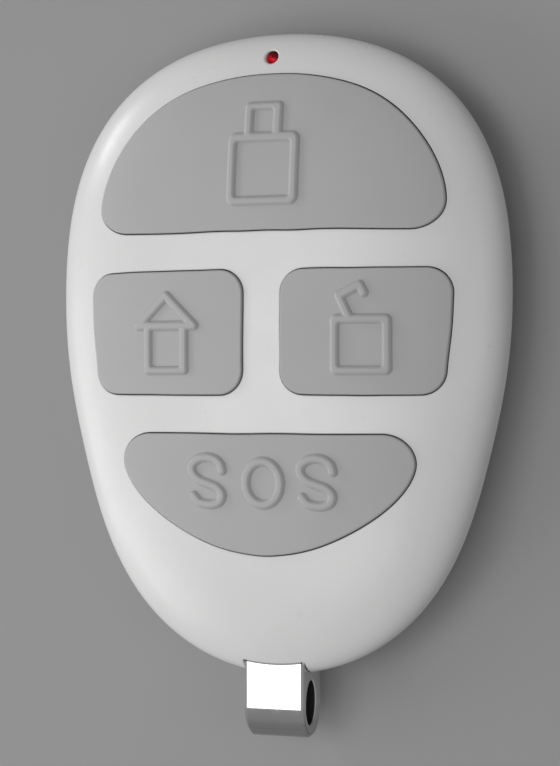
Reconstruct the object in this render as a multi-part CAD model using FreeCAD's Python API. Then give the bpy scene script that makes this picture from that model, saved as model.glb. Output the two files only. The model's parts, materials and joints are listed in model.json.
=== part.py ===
import FreeCAD, Part
import math
import os

# Wireless alarm remote control: an egg-shaped pocket case in two shells, four
# keys on tactile switches, a circuit board with a coin cell under it, a red
# lamp behind a small hole, and a plated key-ring lug held between the shells.
# Millimetres. The remote lies on its back: +Z out of the keys, +Y toward the
# lamp, -Y toward the lug. While it is drawn, z = 0 is the parting plane and
# y = 0 the middle of the case; place() moves it to its resting frame.

# ---- driving dimensions -------------------------------------------------
FRONT_H = 6.50          # crown of the front above the parting plane
REAR_H = 5.20           # crown of the rear before its resting flat is cut
REAR_FLAT = 4.70        # resting flat below the parting plane
WALL = 1.40             # side wall
FRONT_T = 1.30          # front wall, measured along Z
REAR_T = 1.10           # rear wall, measured along Z
# outline radius from the case middle, R(a) = sum c[k] cos(k a), a from +Y
OUTLINE = (25.146, 1.0221, 4.2715, -0.7705, -0.0884, -0.226, -0.1862)
FRONT_P, FRONT_Q = 1.874, 2.966     # fullness of the front dome
REAR_P, REAR_Q = 2.0, 2.6           # fullness of the rear

KEY_GAP = 0.05          # each side of the line between key and case
KEY_PROUD = 0.28        # key tops above the case surface
KEY_PLATE = 1.20        # key thickness over its hollow
KEY_RIM = 1.10          # key skirt thickness
KEY_LIP = 0.45          # retaining lip past the traced line
KEY_LIP_GAP = 0.12      # lip below the case's inner face at rest
KEY_LIP_T = 0.80
KEY_TRAVEL = 0.30
ICON_H = 0.34           # raised marks
ICON_W = 0.86           # stroke of the raised marks

PCB_BOTTOM, PCB_TOP = 0.15, 1.15
PCB_INSET = 2.00
TONGUE_H, TONGUE_OUT, TONGUE_GAP = 0.80, 0.90, 0.06

LAMP_Y, LAMP_HOLE_D = 26.70, 1.24
PIPE_D, PIPE_SHOULDER, PIPE_DOME = 1.20, 2.74, 0.40

LUG_X0, LUG_X1, LUG_T = -2.96, 2.75, 5.00
LUG_END = -34.90
LUG_SHOULDER = -27.00
EYE_T, EYE_L, EYE_Y, EYE_Z = 2.76, 4.00, -31.67, 0.42   # oval hole through the lug
EYE_LEAN = -6.5         # its long axis, turned up toward the free end
LUG_ROUND = 2.83        # length of the lug's rounded end
LUG_CLEAR = 0.137       # between the lug's top and the roof of its notch

SCREWS = ((18.3, 9.3, -1.10), (-18.3, 9.3, -1.10), (0.0, -21.5, -2.20))
SCREW_D, SCREW_HEAD_D, SCREW_HEAD_H, SCREW_LEN = 1.70, 3.00, 0.80, 3.70

CELL_D, CELL_H, CELL_Y, CELL_TOP = 20.0, 3.20, -1.00, -0.20

SW = 4.50               # tactile switch body, square
SW_H, SW_COVER = 1.50, 0.20
PLUNGER_D, PLUNGER_TOP = 1.90, 3.50

Y_SHIFT = -(LUG_END + sum(OUTLINE)) / 2.0
Z_SHIFT = REAR_FLAT

V = FreeCAD.Vector
os.makedirs("parts", exist_ok=True)


# ---- outlines -----------------------------------------------------------
def radius(a):
    return sum(c * math.cos(k * a) for k, c in enumerate(OUTLINE))


def case_outline(inset, scale=1.0, n=48):
    pts = []
    for i in range(n):
        a = 2 * math.pi * i / n
        r = (radius(a) - inset) * scale
        pts.append((r * math.sin(a), r * math.cos(a)))
    return pts


def spline(pts, z=0.0):
    c = Part.BSplineCurve()
    c.interpolate([V(x, y, z) for x, y in pts], PeriodicFlag=True)
    return Part.Wire([c.toShape()])


def resample(pts, n):
    d = [0.0]
    m = len(pts)
    for i in range(m):
        a, b = pts[i], pts[(i + 1) % m]
        d.append(d[-1] + math.hypot(b[0] - a[0], b[1] - a[1]))
    out, j = [], 0
    for i in range(n):
        s = d[-1] * i / n
        while d[j + 1] < s:
            j += 1
        t = (s - d[j]) / max(d[j + 1] - d[j], 1e-12)
        a, b = pts[j], pts[(j + 1) % m]
        out.append((a[0] + (b[0] - a[0]) * t, a[1] + (b[1] - a[1]) * t))
    return out


def offset(pts, k):
    # pts run anticlockwise; positive k grows the outline
    out = []
    m = len(pts)
    for i in range(m):
        a, b = pts[i - 1], pts[(i + 1) % m]
        tx, ty = b[0] - a[0], b[1] - a[1]
        l = math.hypot(tx, ty)
        out.append((pts[i][0] + k * ty / l, pts[i][1] - k * tx / l))
    return out


def arc(cx, cy, rx, ry, a0, a1, ex=2.0, ey=2.0, n=60):
    out = []
    for i in range(n):
        t = math.radians(a0 + (a1 - a0) * i / n)
        c, s = math.cos(t), math.sin(t)
        out.append((cx + rx * math.copysign(abs(c) ** (2 / ex), c),
                    cy + ry * math.copysign(abs(s) ** (2 / ey), s)))
    return out


def mirrored(right):
    # right half from bottom middle to top middle, anticlockwise
    return right + [(-x, y) for x, y in reversed(right) if abs(x) > 1e-6]


def arm_outline():
    half = [(13.3 * i / 20.0, 10.93) for i in range(20)]
    half += arc(13.3, 13.4, 3.03, 2.47, -90, 0)
    half += arc(0.0, 13.4, 16.33, 11.73, 0, 90, 2.15, 1.9, 160)
    half.append((0.0, 25.13))
    return resample(mirrored(half), 120)


def sos_outline():
    half = arc(0.0, -9.75, 13.83, 8.22, -90, 0, 1.7, 1.7, 160)
    half += arc(10.9, -9.75, 2.93, 2.65, 0, 90)
    half += [(10.9 - 10.9 * i / 20.0, -7.10) for i in range(20)]
    half.append((0.0, -7.10))
    return resample(mirrored(half), 120)


def side_outline(sign):
    corners = [(1.71, -3.66), (16.42, -3.66), (17.28, 7.51), (1.71, 7.51)]
    r = 2.2
    pts = []
    for i in range(4):
        p, q, s = corners[i - 1], corners[i], corners[(i + 1) % 4]
        u = norm((p[0] - q[0], p[1] - q[1]))
        w = norm((s[0] - q[0], s[1] - q[1]))
        half = math.acos(u[0] * w[0] + u[1] * w[1]) / 2
        b = norm((u[0] + w[0], u[1] + w[1]))
        c = (q[0] + b[0] * r / math.sin(half), q[1] + b[1] * r / math.sin(half))
        a0 = math.atan2(-w[0] * 0 - (c[1] - (q[1] + u[1] * r / math.tan(half))),
                        q[0] + u[0] * r / math.tan(half) - c[0])
        a1 = math.atan2(q[1] + w[1] * r / math.tan(half) - c[1],
                        q[0] + w[0] * r / math.tan(half) - c[0])
        while a1 < a0:
            a1 += 2 * math.pi
        pts += [(c[0] + r * math.cos(a0 + (a1 - a0) * k / 24.0),
                 c[1] + r * math.sin(a0 + (a1 - a0) * k / 24.0)) for k in range(25)]
    pts = resample(pts, 110)
    if sign < 0:
        pts = [(-x, y) for x, y in reversed(pts)]
    return pts


def norm(v):
    l = math.hypot(v[0], v[1])
    return (v[0] / l, v[1] / l)


# small departures of the four outlines from their plain curves, outward, as a
# mean and then cosine and sine of one, two, three ... turns about the key's stem
STEM = {"arm": (0.0, 17.2), "home": (-9.4, 1.9), "disarm": (9.4, 1.9), "sos": (0.0, -12.2)}
WAVES = {
    "arm": (-0.022, 0.077, -0.026, -0.029, 0.025, 0.039, 0.000, -0.063, -0.004, 0.024, -0.014,
            -0.051, -0.018, 0.002, -0.014, -0.029, -0.016, -0.010, 0.001),
    "home": (-0.028, 0.080, -0.058, -0.017, 0.009, 0.005, 0.004, 0.010, 0.009, -0.020, 0.013,
             0.015, -0.005, -0.015, 0.008, 0.005, -0.003),
    "disarm": (-0.027, 0.070, -0.043, -0.045, 0.001, 0.045, 0.022, 0.005, 0.005, 0.014, 0.012,
               0.020, 0.004, -0.004, 0.008, 0.013, -0.004),
    "sos": (-0.008, 0.045, -0.076, -0.052, -0.017, 0.013, 0.008, -0.028, -0.014, 0.022, 0.028,
            -0.005, 0.003, 0.005, 0.008, 0.001, 0.002),
}


def waved(name, pts):
    cx, cy = STEM[name]
    c = WAVES[name]
    m = len(pts)
    out = []
    for i in range(m):
        a, b = pts[i - 1], pts[(i + 1) % m]
        n = norm((b[1] - a[1], a[0] - b[0]))
        t = math.atan2(pts[i][1] - cy, pts[i][0] - cx)
        d = c[0] + sum(c[2 * k - 1] * math.cos(k * t) + c[2 * k] * math.sin(k * t)
                       for k in range(1, len(c) // 2 + 1))
        out.append((pts[i][0] + n[0] * d, pts[i][1] + n[1] * d))
    return out


def prism(pts, z0, z1):
    return Part.Face(spline(pts, z0)).extrude(V(0, 0, z1 - z0))


def box(x0, x1, y0, y1, z0, z1):
    return Part.makeBox(x1 - x0, y1 - y0, z1 - z0, V(x0, y0, z0))


def cyl(x, y, r, z0, z1):
    return Part.makeCylinder(r, z1 - z0, V(x, y, z0))


# ---- the case form ------------------------------------------------------
LEVELS = (0.0, 0.16, 0.32, 0.46, 0.60, 0.71, 0.80, 0.88, 0.94, 0.976, 0.9935, 0.9996)


def dome(height, inset, p, q, sign):
    wires = []
    for h in LEVELS:
        rho = (1 - h ** q) ** (1 / p)
        wires.append(spline(case_outline(inset, rho), sign * h * height))
    s = Part.makeLoft(wires, True, False)
    if s.Volume < 0:
        s.reverse()
    return Part.makeSolid(s.Shells[0]) if s.ShapeType != "Solid" else s


front_out = dome(FRONT_H, 0.0, FRONT_P, FRONT_Q, 1)
front_in = dome(FRONT_H - FRONT_T, WALL, FRONT_P, FRONT_Q, 1)
rear_out = dome(REAR_H, 0.0, REAR_P, REAR_Q, -1)
rear_in = dome(REAR_H - REAR_T, WALL, REAR_P, REAR_Q, -1)
below = box(-40, 40, -40, 40, -20, -REAR_FLAT)
below_in = box(-40, 40, -40, 40, -20, -REAR_FLAT + REAR_T)
rear_out = rear_out.cut(below)
rear_in = rear_in.cut(below_in)


def moved(s, dx=0.0, dy=0.0, dz=0.0):
    c = s.copy()
    c.translate(V(dx, dy, dz))
    return c


# ---- raised marks -------------------------------------------------------
def stroke(path, w=ICON_W, closed=False, z0=0.0, z1=12.0):
    # a stroke of even width along a run of points, with round ends and corners
    solids = []
    m = len(path)
    for i in range(m if closed else m - 1):
        a, b = path[i], path[(i + 1) % m]
        l = math.hypot(b[0] - a[0], b[1] - a[1])
        s = box(0, l, -w / 2, w / 2, z0, z1)
        s.rotate(V(0, 0, 0), V(0, 0, 1), math.degrees(math.atan2(b[1] - a[1], b[0] - a[0])))
        s.translate(V(a[0], a[1], 0))
        solids.append(s)
    for x, y in path:
        solids.append(cyl(x, y, w / 2, z0, z1))
    return solids[0].multiFuse(solids[1:]).removeSplitter()


def rounded_box(x0, x1, y0, y1, r, z0=0.0, z1=12.0):
    b = box(x0, x1, y0, y1, z0, z1)
    return b.makeFillet(r, [e for e in b.Edges
                            if abs(e.Vertexes[0].Point.z - e.Vertexes[1].Point.z) > 1])


def ring_box(outer, inner, r_out, r_in):
    return rounded_box(*outer, r_out).cut(rounded_box(*inner, r_in, -1, 13))


def ribbon(path, w=ICON_W):
    # a curved stroke: two offset sides and round ends, as one smooth outline
    c = Part.BSplineCurve()
    c.interpolate([V(x, y, 0) for x, y in path])
    n = 60
    u0, u1 = c.FirstParameter, c.LastParameter
    left, right = [], []
    for i in range(n + 1):
        u = u0 + (u1 - u0) * i / n
        p = c.value(u)
        t = c.tangent(u)[0]
        left.append((p.x - t.y * w / 2, p.y + t.x * w / 2))
        right.append((p.x + t.y * w / 2, p.y - t.x * w / 2))

    def side(pts):
        s = Part.BSplineCurve()
        s.interpolate([V(x, y, 0) for x, y in pts])
        return s.toShape()

    def cap(p, q, u, out):
        e = c.value(u)
        t = c.tangent(u)[0]
        m = V(e.x + out * t.x * w / 2, e.y + out * t.y * w / 2, 0)
        return Part.Arc(V(p[0], p[1], 0), m, V(q[0], q[1], 0)).toShape()

    wire = Part.Wire(Part.__sortEdges__([side(left), cap(left[-1], right[-1], u1, 1),
                                         side(right), cap(right[0], left[0], u0, -1)]))
    return Part.Face(wire).extrude(V(0, 0, 12))


# closed padlock on the arming key
lock_closed = ring_box((-3.325, 3.395, 13.15, 19.75), (-2.505, 2.52, 13.98, 18.86), 0.75, 0.18).fuse(
    ring_box((-1.88, 1.74, 19.0, 22.50), (-1.005, 0.795, 18.0, 21.755), 0.42, 0.12).cut(
        box(-4, 4, 17, 19.3, -1, 13)))
# house on the home key
HX = -9.185
house = stroke([(HX - 2.66, 2.52), (HX + 2.91, 2.52), (HX + 0.12, 5.22)], closed=True).fuse(
    ring_box((HX - 2.11, HX + 2.35, -1.895, 2.90), (HX - 1.29, HX + 1.50, -1.12, 2.14), 0.42, 0.12))
# opened padlock on the disarming key, its shackle swung up and away
lock_open = ring_box((6.495, 11.985, -1.95, 3.40), (7.325, 11.105, -1.14, 2.55), 0.58, 0.16).fuse(
    stroke([(8.25, 3.0), (7.31, 5.02), (9.15, 5.93), (9.49, 5.27)]))
# letters
S_PATH = [(1.48, 0.93), (1.28, 1.54), (0.72, 1.95), (0.0, 2.10), (-0.80, 1.95),
          (-1.36, 1.52), (-1.50, 1.05), (-1.28, 0.50), (-0.70, 0.02), (0.12, -0.27),
          (0.86, -0.56), (1.32, -0.99), (1.40, -1.40), (1.14, -1.87), (0.54, -2.10),
          (-0.15, -2.09), (-0.84, -1.90), (-1.34, -1.34)]


def letter_s(cx, cy):
    return ribbon([(cx + x, cy + y) for x, y in S_PATH])


def ellipse_prism(cx, cy, rx, ry):
    return prism(arc(cx, cy, rx, ry, 0, 360, n=48), 0, 12)


letter_o = ellipse_prism(0.22, -11.52, 1.62 + ICON_W / 2, 1.92 + ICON_W / 2).cut(
    ellipse_prism(0.22, -11.52, 1.62 - ICON_W / 2, 1.92 - ICON_W / 2))

# ---- keys ---------------------------------------------------------------
KEYS = {
    "arm": (waved("arm", arm_outline()), STEM["arm"], [lock_closed]),
    "home": (waved("home", side_outline(-1)), STEM["home"], [house]),
    "disarm": (waved("disarm", side_outline(1)), STEM["disarm"], [lock_open]),
    "sos": (waved("sos", sos_outline()), STEM["sos"],
            [letter_s(-5.12, -11.38), letter_o, letter_s(5.18, -11.40)]),
}

lip_top = moved(front_in, 0, 0, -KEY_LIP_GAP)
lip_bottom = moved(front_in, 0, 0, -KEY_LIP_GAP - KEY_LIP_T)
hollow_top = moved(front_out, 0, 0, -KEY_PLATE)
key_top = moved(front_out, 0, 0, KEY_PROUD)
icon_top = moved(front_out, 0, 0, KEY_PROUD + ICON_H)
nodes = {}

for name, (line, (sx, sy), marks) in KEYS.items():
    cap = prism(offset(line, -KEY_GAP), 0.5, 12).common(key_top)
    cap = cap.cut(lip_bottom)
    lip = prism(offset(line, KEY_LIP), 0.5, 12).common(lip_top).cut(lip_bottom)
    core = prism(offset(line, -KEY_GAP - KEY_RIM), -2, 12).common(hollow_top)
    key = cap.fuse(lip).cut(core)
    stem = cyl(sx, sy, 1.6, PLUNGER_TOP, 8).common(moved(front_out, 0, 0, -0.5))
    key = key.fuse(stem)
    for m in marks:
        key = key.fuse(m.common(icon_top).cut(moved(front_out, 0, 0, -0.4)))
    nodes["key_" + name] = key

# ---- front shell --------------------------------------------------------
shell = front_out.cut(front_in)
shell = shell.cut(prism(case_outline(TONGUE_OUT - TONGUE_GAP), -0.5, TONGUE_H + 0.1))
for name, (line, c, marks) in KEYS.items():
    shell = shell.cut(prism(offset(line, KEY_GAP), 1.3, 12))
shell = shell.cut(cyl(0, LAMP_Y, LAMP_HOLE_D / 2, 1.0, 8))
roof = moved(front_out, 0, 0, -0.5)
adds = []
for x, y, z in SCREWS:
    adds.append(cyl(x, y, 1.9, 0, 8).common(roof))
for x, y in ((0.0, 9.2), (0.0, -5.4)):
    adds.append(cyl(x, y, 1.0, PCB_TOP, 8).common(roof))
bulk = box(-4.8, 4.8, -27.25, -25.80, 0, 3.4).common(moved(front_out, 0, 0.35, -0.3))
adds.append(bulk)
shell = shell.multiFuse(adds)
pocket = box(LUG_X0 - 0.12, LUG_X1 + 0.12, -31, LUG_SHOULDER + 0.05,
             -LUG_T / 2 - 0.12, LUG_T / 2 + LUG_CLEAR)
NECK_W, NECK_T = 4.4, 2.6
slot = box(-NECK_W / 2 - 0.1, NECK_W / 2 + 0.1, -29, -25.5, -NECK_T / 2 - 0.1, NECK_T / 2 + 0.1)
shell = shell.cut(pocket).cut(slot)
for x, y, z in SCREWS:
    shell = shell.cut(cyl(x, y, SCREW_D / 2, -1, z + SCREW_LEN + 0.15))
nodes["front_shell"] = shell

# ---- rear shell ---------------------------------------------------------
rear = rear_out.cut(rear_in)
tongue = prism(case_outline(TONGUE_OUT), -0.6, TONGUE_H).cut(prism(case_outline(WALL), -1, 2))
tongue = tongue.cut(box(-5.2, 5.2, -40, -20, 0, 2))
for x, y, z in SCREWS:
    tongue = tongue.cut(cyl(x, y, 2.0, 0, 2))
rear = rear.fuse(tongue)
floor = rear_out
adds = []
for x, y, z in SCREWS:
    adds.append(cyl(x, y, 2.3, -8, 0).common(floor))
for x, y in ((10.5, 19.2), (-10.5, 19.2), (13.5, -12.5), (-13.5, -12.5)):
    adds.append(cyl(x, y, 1.0, -8, PCB_BOTTOM).common(floor.fuse(box(-40, 40, -40, 40, 0, 1))))
adds.append(box(-4.8, 4.8, -27.25, -25.80, -3.4, 0).common(moved(rear_out, 0, 0.35, 0.3)))
# a low ring that keeps the coin cell from sliding
cellring = Part.makeCylinder(11.6, 1.2, V(0, CELL_Y, -3.9)).cut(
    Part.makeCylinder(10.8, 1.4, V(0, CELL_Y, -4.0))).cut(box(-14, 14, -4.2, 2.2, -5, 0))
adds.append(cellring.common(floor))
rear = rear.multiFuse(adds)
rear = rear.cut(pocket).cut(slot)
for x, y, z in SCREWS:
    rear = rear.cut(cyl(x, y, SCREW_HEAD_D / 2 + 0.2, -9, z))
    rear = rear.cut(cyl(x, y, SCREW_D / 2 + 0.1, -9, 1))
nodes["rear_shell"] = rear

# ---- lug ----------------------------------------------------------------
HEAD_W, HEAD_T = 8.4, 2.8


def oval(half_y, half_z, x0, x1, y, z, lean=0.0):
    # an elliptical bar along X: its long axis to Y, its short axis to Z
    c = Part.Ellipse(V(0, 0, 0), half_y, half_z)
    c = Part.Face(Part.Wire([c.toShape()])).extrude(V(0, 0, x1 - x0))
    c.transformShape(FreeCAD.Matrix(0, 0, 1, x0, 1, 0, 0, 0, 0, 1, 0, 0, 0, 0, 0, 1))
    c.rotate(V(0, 0, 0), V(1, 0, 0), lean)
    c.translate(V(0, y, z))
    return c


body = box(LUG_X0, LUG_X1, LUG_END + LUG_ROUND, LUG_SHOULDER, -LUG_T / 2, LUG_T / 2)
lug = body.fuse(oval(LUG_ROUND, LUG_T / 2, LUG_X0, LUG_X1, LUG_END + LUG_ROUND, 0.0))
eye = oval(EYE_L / 2, EYE_T / 2, -6, 6, EYE_Y, EYE_Z, EYE_LEAN)
lug = lug.cut(eye).removeSplitter()
neck = box(-NECK_W / 2, NECK_W / 2, LUG_SHOULDER - 0.1, -25.7, -NECK_T / 2, NECK_T / 2)
head = box(-HEAD_W / 2, HEAD_W / 2, -25.7, -24.2, -HEAD_T / 2, HEAD_T / 2)
nodes["ring_lug"] = lug.fuse(neck).fuse(head)

# ---- screws -------------------------------------------------------------
screws = []
for x, y, z in SCREWS:
    s = cyl(x, y, SCREW_HEAD_D / 2, z - SCREW_HEAD_H, z)
    s = s.makeFillet(0.35, [e for e in s.Edges if e.Closed and abs(e.Vertexes[0].Point.z
                                                                   - (z - SCREW_HEAD_H)) < 1e-6])
    s = s.fuse(cyl(x, y, SCREW_D / 2, z - 0.1, z + SCREW_LEN - 0.5))
    s = s.fuse(Part.makeCone(SCREW_D / 2, 0.35, 0.5, V(x, y, z + SCREW_LEN - 0.5)))
    for a in (0, 90):
        c = box(-0.85, 0.85, -0.16, 0.16, 0, 0.45)
        c.rotate(V(0, 0, 0), V(0, 0, 1), a + 20 * (x > 1) + 55 * (x < -1))
        c.translate(V(x, y, z - SCREW_HEAD_H))
        s = s.cut(c)
    screws.append(s)
nodes["case_screws"] = screws

# ---- circuit board ------------------------------------------------------
pcb = prism(case_outline(PCB_INSET), PCB_BOTTOM, PCB_TOP)
pcb = pcb.cut(box(-30, 30, -40, -23.7, -1, 3))
for x, y, z in SCREWS:
    pcb = pcb.cut(cyl(x, y, 2.15, -1, 3))
nodes["circuit_board"] = pcb

# ---- tactile switches ---------------------------------------------------
terminals = []
domes = []
for name, (line, (sx, sy), marks) in KEYS.items():
    z0 = PCB_TOP
    b = box(sx - SW / 2, sx + SW / 2, sy - SW / 2, sy + SW / 2, z0, z0 + SW_H)
    b = b.makeChamfer(0.35, [e for e in b.Edges
                             if abs(e.Vertexes[0].Point.z - e.Vertexes[1].Point.z) > 1])
    b = b.cut(cyl(sx, sy, 1.6, z0 + 0.40, z0 + SW_H + 1))
    nodes["switch_%s_body" % name] = b
    c = box(sx - SW / 2 + 0.2, sx + SW / 2 - 0.2, sy - SW / 2, sy + SW / 2,
            z0 + SW_H, z0 + SW_H + SW_COVER)
    c = c.cut(cyl(sx, sy, PLUNGER_D / 2 + 0.12, z0, z0 + 4))
    nodes["switch_%s_cover" % name] = c
    p = cyl(sx, sy, PLUNGER_D / 2, 2.10, PLUNGER_TOP)
    nodes["switch_%s_plunger" % name] = p.fuse(cyl(sx, sy, 1.35, 2.10, 2.50))
    domes.append(Part.makeCone(1.50, 0.9, 0.10, V(sx, sy, z0 + 0.40)))
    for ux in (-1, 1):
        for uy in (-1, 1):
            x0 = sx + ux * SW / 2
            t = box(min(x0, x0 + ux * 0.9), max(x0, x0 + ux * 0.9),
                    sy + uy * 1.5 - 0.3, sy + uy * 1.5 + 0.3, z0, z0 + 0.15)
            t = t.fuse(box(min(x0, x0 + ux * 0.15), max(x0, x0 + ux * 0.15),
                           sy + uy * 1.5 - 0.3, sy + uy * 1.5 + 0.3, z0, z0 + 0.6))
            terminals.append(t)
nodes["switch_terminals"] = terminals
nodes["switch_domes"] = domes

# ---- lamp ---------------------------------------------------------------
nodes["led_chip"] = box(-0.5, 0.5, 26.0, 26.8, PCB_TOP, 1.75)
nodes["led_caps"] = [box(-0.8, -0.5, 26.0, 26.8, PCB_TOP, 1.55),
                     box(0.5, 0.8, 26.0, 26.8, PCB_TOP, 1.55)]
pipe_r = PIPE_D / 2
ball = (pipe_r ** 2 + PIPE_DOME ** 2) / (2 * PIPE_DOME)
pipe = cyl(0, LAMP_Y, pipe_r, 1.85, PIPE_SHOULDER).fuse(
    Part.makeSphere(ball, V(0, LAMP_Y, PIPE_SHOULDER + PIPE_DOME - ball)).common(
        cyl(0, LAMP_Y, pipe_r, PIPE_SHOULDER, 5)))
nodes["light_pipe"] = pipe.removeSplitter()

# ---- electronics under the board ----------------------------------------
zb = PCB_BOTTOM
chip = box(-4.35, 4.35, 13.25, 17.15, zb - 1.55, zb - 0.10)
nodes["encoder_chip"] = chip.makeChamfer(0.12, [e for e in chip.Edges
                                               if abs(e.Vertexes[0].Point.z - e.Vertexes[1].Point.z) < 1e-6
                                               and e.Vertexes[0].Point.z < zb - 1])
legs = []
for i in range(7):
    x = -3.81 + 1.27 * i
    for s in (-1, 1):
        y0 = 15.2 + s * 1.95
        a = box(x - 0.2, x + 0.2, min(y0, y0 + s * 0.45), max(y0, y0 + s * 0.45), zb - 0.9, zb - 0.7)
        b = box(x - 0.2, x + 0.2, min(y0 + s * 0.30, y0 + s * 0.50), max(y0 + s * 0.30, y0 + s * 0.50),
                zb - 0.9, zb)
        c = box(x - 0.2, x + 0.2, min(y0 + s * 0.30, y0 + s * 1.05), max(y0 + s * 0.30, y0 + s * 1.05),
                zb - 0.2, zb)
        legs.append(a.fuse(b).fuse(c).removeSplitter())
nodes["chip_leads"] = legs
nodes["saw_resonator"] = rounded_box(9.7, 13.5, 12.4, 16.2, 0.4, zb - 1.30, zb)
nodes["rf_transistor"] = box(-12.9, -10.0, 14.0, 15.3, zb - 1.0, zb)
res = []
for x, y, a in ((-7.6, 19.6, 0), (-7.6, 11.4, 0), (7.4, 19.6, 90), (-9.6, 17.4, 90),
                (8.0, 11.0, 0), (4.2, 20.2, 0), (-3.2, 20.6, 0)):
    r = box(-0.8, 0.8, -0.4, 0.4, zb - 0.45, zb)
    r.rotate(V(0, 0, 0), V(0, 0, 1), a)
    r.translate(V(x, y, 0))
    res.append(r)
nodes["smd_resistors"] = res
caps = []
for x, y, a in ((15.2, 13.6, 90), (-14.6, 14.6, 90), (0.4, 11.0, 0), (5.2, -17.0, 0),
                (-5.2, -17.0, 0)):
    r = box(-0.8, 0.8, -0.4, 0.4, zb - 0.80, zb)
    r.rotate(V(0, 0, 0), V(0, 0, 1), a)
    r.translate(V(x, y, 0))
    caps.append(r)
nodes["smd_capacitors"] = caps

# air-wound aerial coil, laid along X
turns, pitch, cr, wr = 4, 0.85, 1.25, 0.22
helix = Part.makeHelix(pitch, pitch * turns, cr)
prof = Part.Wire([Part.Circle(V(cr, 0, 0), V(0, 1, 0), wr).toShape()])
coil = Part.Wire(helix.Edges).makePipeShell([prof], True, True)
coil.rotate(V(0, 0, 0), V(0, 1, 0), 90)
coil.translate(V(9.8, 7.4, zb - cr - wr - 0.05))
nodes["aerial_coil"] = coil

# ---- coin cell and its contacts -----------------------------------------
cell = Part.makeCylinder(CELL_D / 2, CELL_H - 0.6, V(0, CELL_Y, CELL_TOP - CELL_H))
cell = cell.makeFillet(0.35, [e for e in cell.Edges if e.Closed and
                              abs(e.Vertexes[0].Point.z - (CELL_TOP - CELL_H)) < 1e-6])
cell = cell.fuse(Part.makeCylinder(8.7, 0.6, V(0, CELL_Y, CELL_TOP - 0.6))).removeSplitter()
nodes["coin_cell"] = cell
ct = 0.13
zc = CELL_TOP - CELL_H
clip = box(-10.6, 10.6, CELL_Y - 2.5, CELL_Y + 2.5, zc - ct, zc)
for s in (-1, 1):
    clip = clip.fuse(box(min(s * 10.47, s * 10.6), max(s * 10.47, s * 10.6), CELL_Y - 2.5,
                         CELL_Y + 2.5, zc - ct, zb))
    clip = clip.fuse(box(min(s * 10.47, s * 12.2), max(s * 10.47, s * 12.2), CELL_Y - 2.5,
                         CELL_Y + 2.5, zb - ct, zb))
clip = clip.cut(cyl(0, CELL_Y, 1.2, -6, -2))
nodes["battery_clip_positive"] = clip.removeSplitter()
neg = box(-4.5, 4.5, CELL_Y - 1.6, CELL_Y + 1.6, zb - 0.12, zb)
for s in (-1, 1):
    f = box(0, 3.4, -1.0, 1.0, -0.10, 0)
    f.rotate(V(0, 0, 0), V(0, 1, 0), 3.0)
    if s < 0:
        f.rotate(V(0, 0, 0), V(0, 0, 1), 180)
    f.translate(V(s * 0.6, CELL_Y, zb - 0.10))
    neg = neg.fuse(f)
neg = neg.cut(box(-10, 10, -10, 10, -3, CELL_TOP))
nodes["battery_contact_negative"] = neg

# ---- out ----------------------------------------------------------------
for name, s in nodes.items():
    parts = s if isinstance(s, list) else [s]
    solids = []
    for k in parts:
        solids += k.Solids
    if isinstance(s, list):
        shape = Part.makeCompound(solids)
    else:
        if len(solids) != 1:
            print("WARNING", name, "has", len(solids), "solids",
                  [round(k.Volume, 3) for k in solids])
        shape = max(solids, key=lambda k: k.Volume)
    shape.translate(V(0, Y_SHIFT, Z_SHIFT))
    if not shape.isValid():
        print("INVALID", name)
    bb = shape.BoundBox
    print("%-26s %8.2f mm3  x %.2f..%.2f y %.2f..%.2f z %.2f..%.2f" % (
        name, shape.Volume, bb.XMin, bb.XMax, bb.YMin, bb.YMax, bb.ZMin, bb.ZMax))
    shape.exportStep("parts/%s.step" % name)
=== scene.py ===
import json
import math

import bpy
import numpy as np
from mathutils import Matrix, Vector
from mathutils.geometry import delaunay_2d_cdt


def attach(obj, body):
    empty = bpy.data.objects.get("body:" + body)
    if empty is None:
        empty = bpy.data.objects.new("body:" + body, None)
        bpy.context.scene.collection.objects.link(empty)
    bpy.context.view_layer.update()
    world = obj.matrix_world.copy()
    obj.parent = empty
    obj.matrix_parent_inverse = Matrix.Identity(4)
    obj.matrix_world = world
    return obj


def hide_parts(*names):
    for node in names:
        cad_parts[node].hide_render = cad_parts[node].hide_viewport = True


# Wireless alarm remote control on a pale studio floor. The shapes are worked
# out in millimetres in the case's own drawing frame (z = 0 parting plane, y = 0
# middle of the case) and then put in the row frame in metres.
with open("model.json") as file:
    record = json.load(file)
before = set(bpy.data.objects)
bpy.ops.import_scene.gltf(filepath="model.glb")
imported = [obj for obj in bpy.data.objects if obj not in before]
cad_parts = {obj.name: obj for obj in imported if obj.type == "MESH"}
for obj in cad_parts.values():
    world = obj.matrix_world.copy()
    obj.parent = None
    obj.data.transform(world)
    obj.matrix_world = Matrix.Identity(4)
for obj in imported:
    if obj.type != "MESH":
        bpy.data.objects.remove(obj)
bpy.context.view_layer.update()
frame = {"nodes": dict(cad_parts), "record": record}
NODES = frame["nodes"]
SHIFT = np.array([0.0, 2.86575, 4.70])

OUTLINE = (25.146, 1.0221, 4.2715, -0.7705, -0.0884, -0.226, -0.1862)
FH, FP, FQ = 6.50, 1.874, 2.966
RH, RP, RQ, RFLAT = 5.20, 2.0, 2.6, 4.70
WALL, FRONT_T, REAR_T = 1.40, 1.30, 1.10
GAP = 0.05             # each side of the line between key and case
PROUD = 0.28           # key tops above the case surface
R_CASE, R_KEY = 0.10, 0.13
ICON_H, ICON_W = 0.34, 0.86
LAMP_Y, LAMP_R = 26.70, 0.62
EYE = (-31.67, 0.42, 2.0, 1.38)     # the lug's oval hole: middle y, z and half lengths
EYE_LEAN = math.radians(-6.5)       # its long axis, turned up toward the free end
SCREWS = ((18.3, 9.3, -1.10), (-18.3, 9.3, -1.10), (0.0, -21.5, -2.20))


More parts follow.
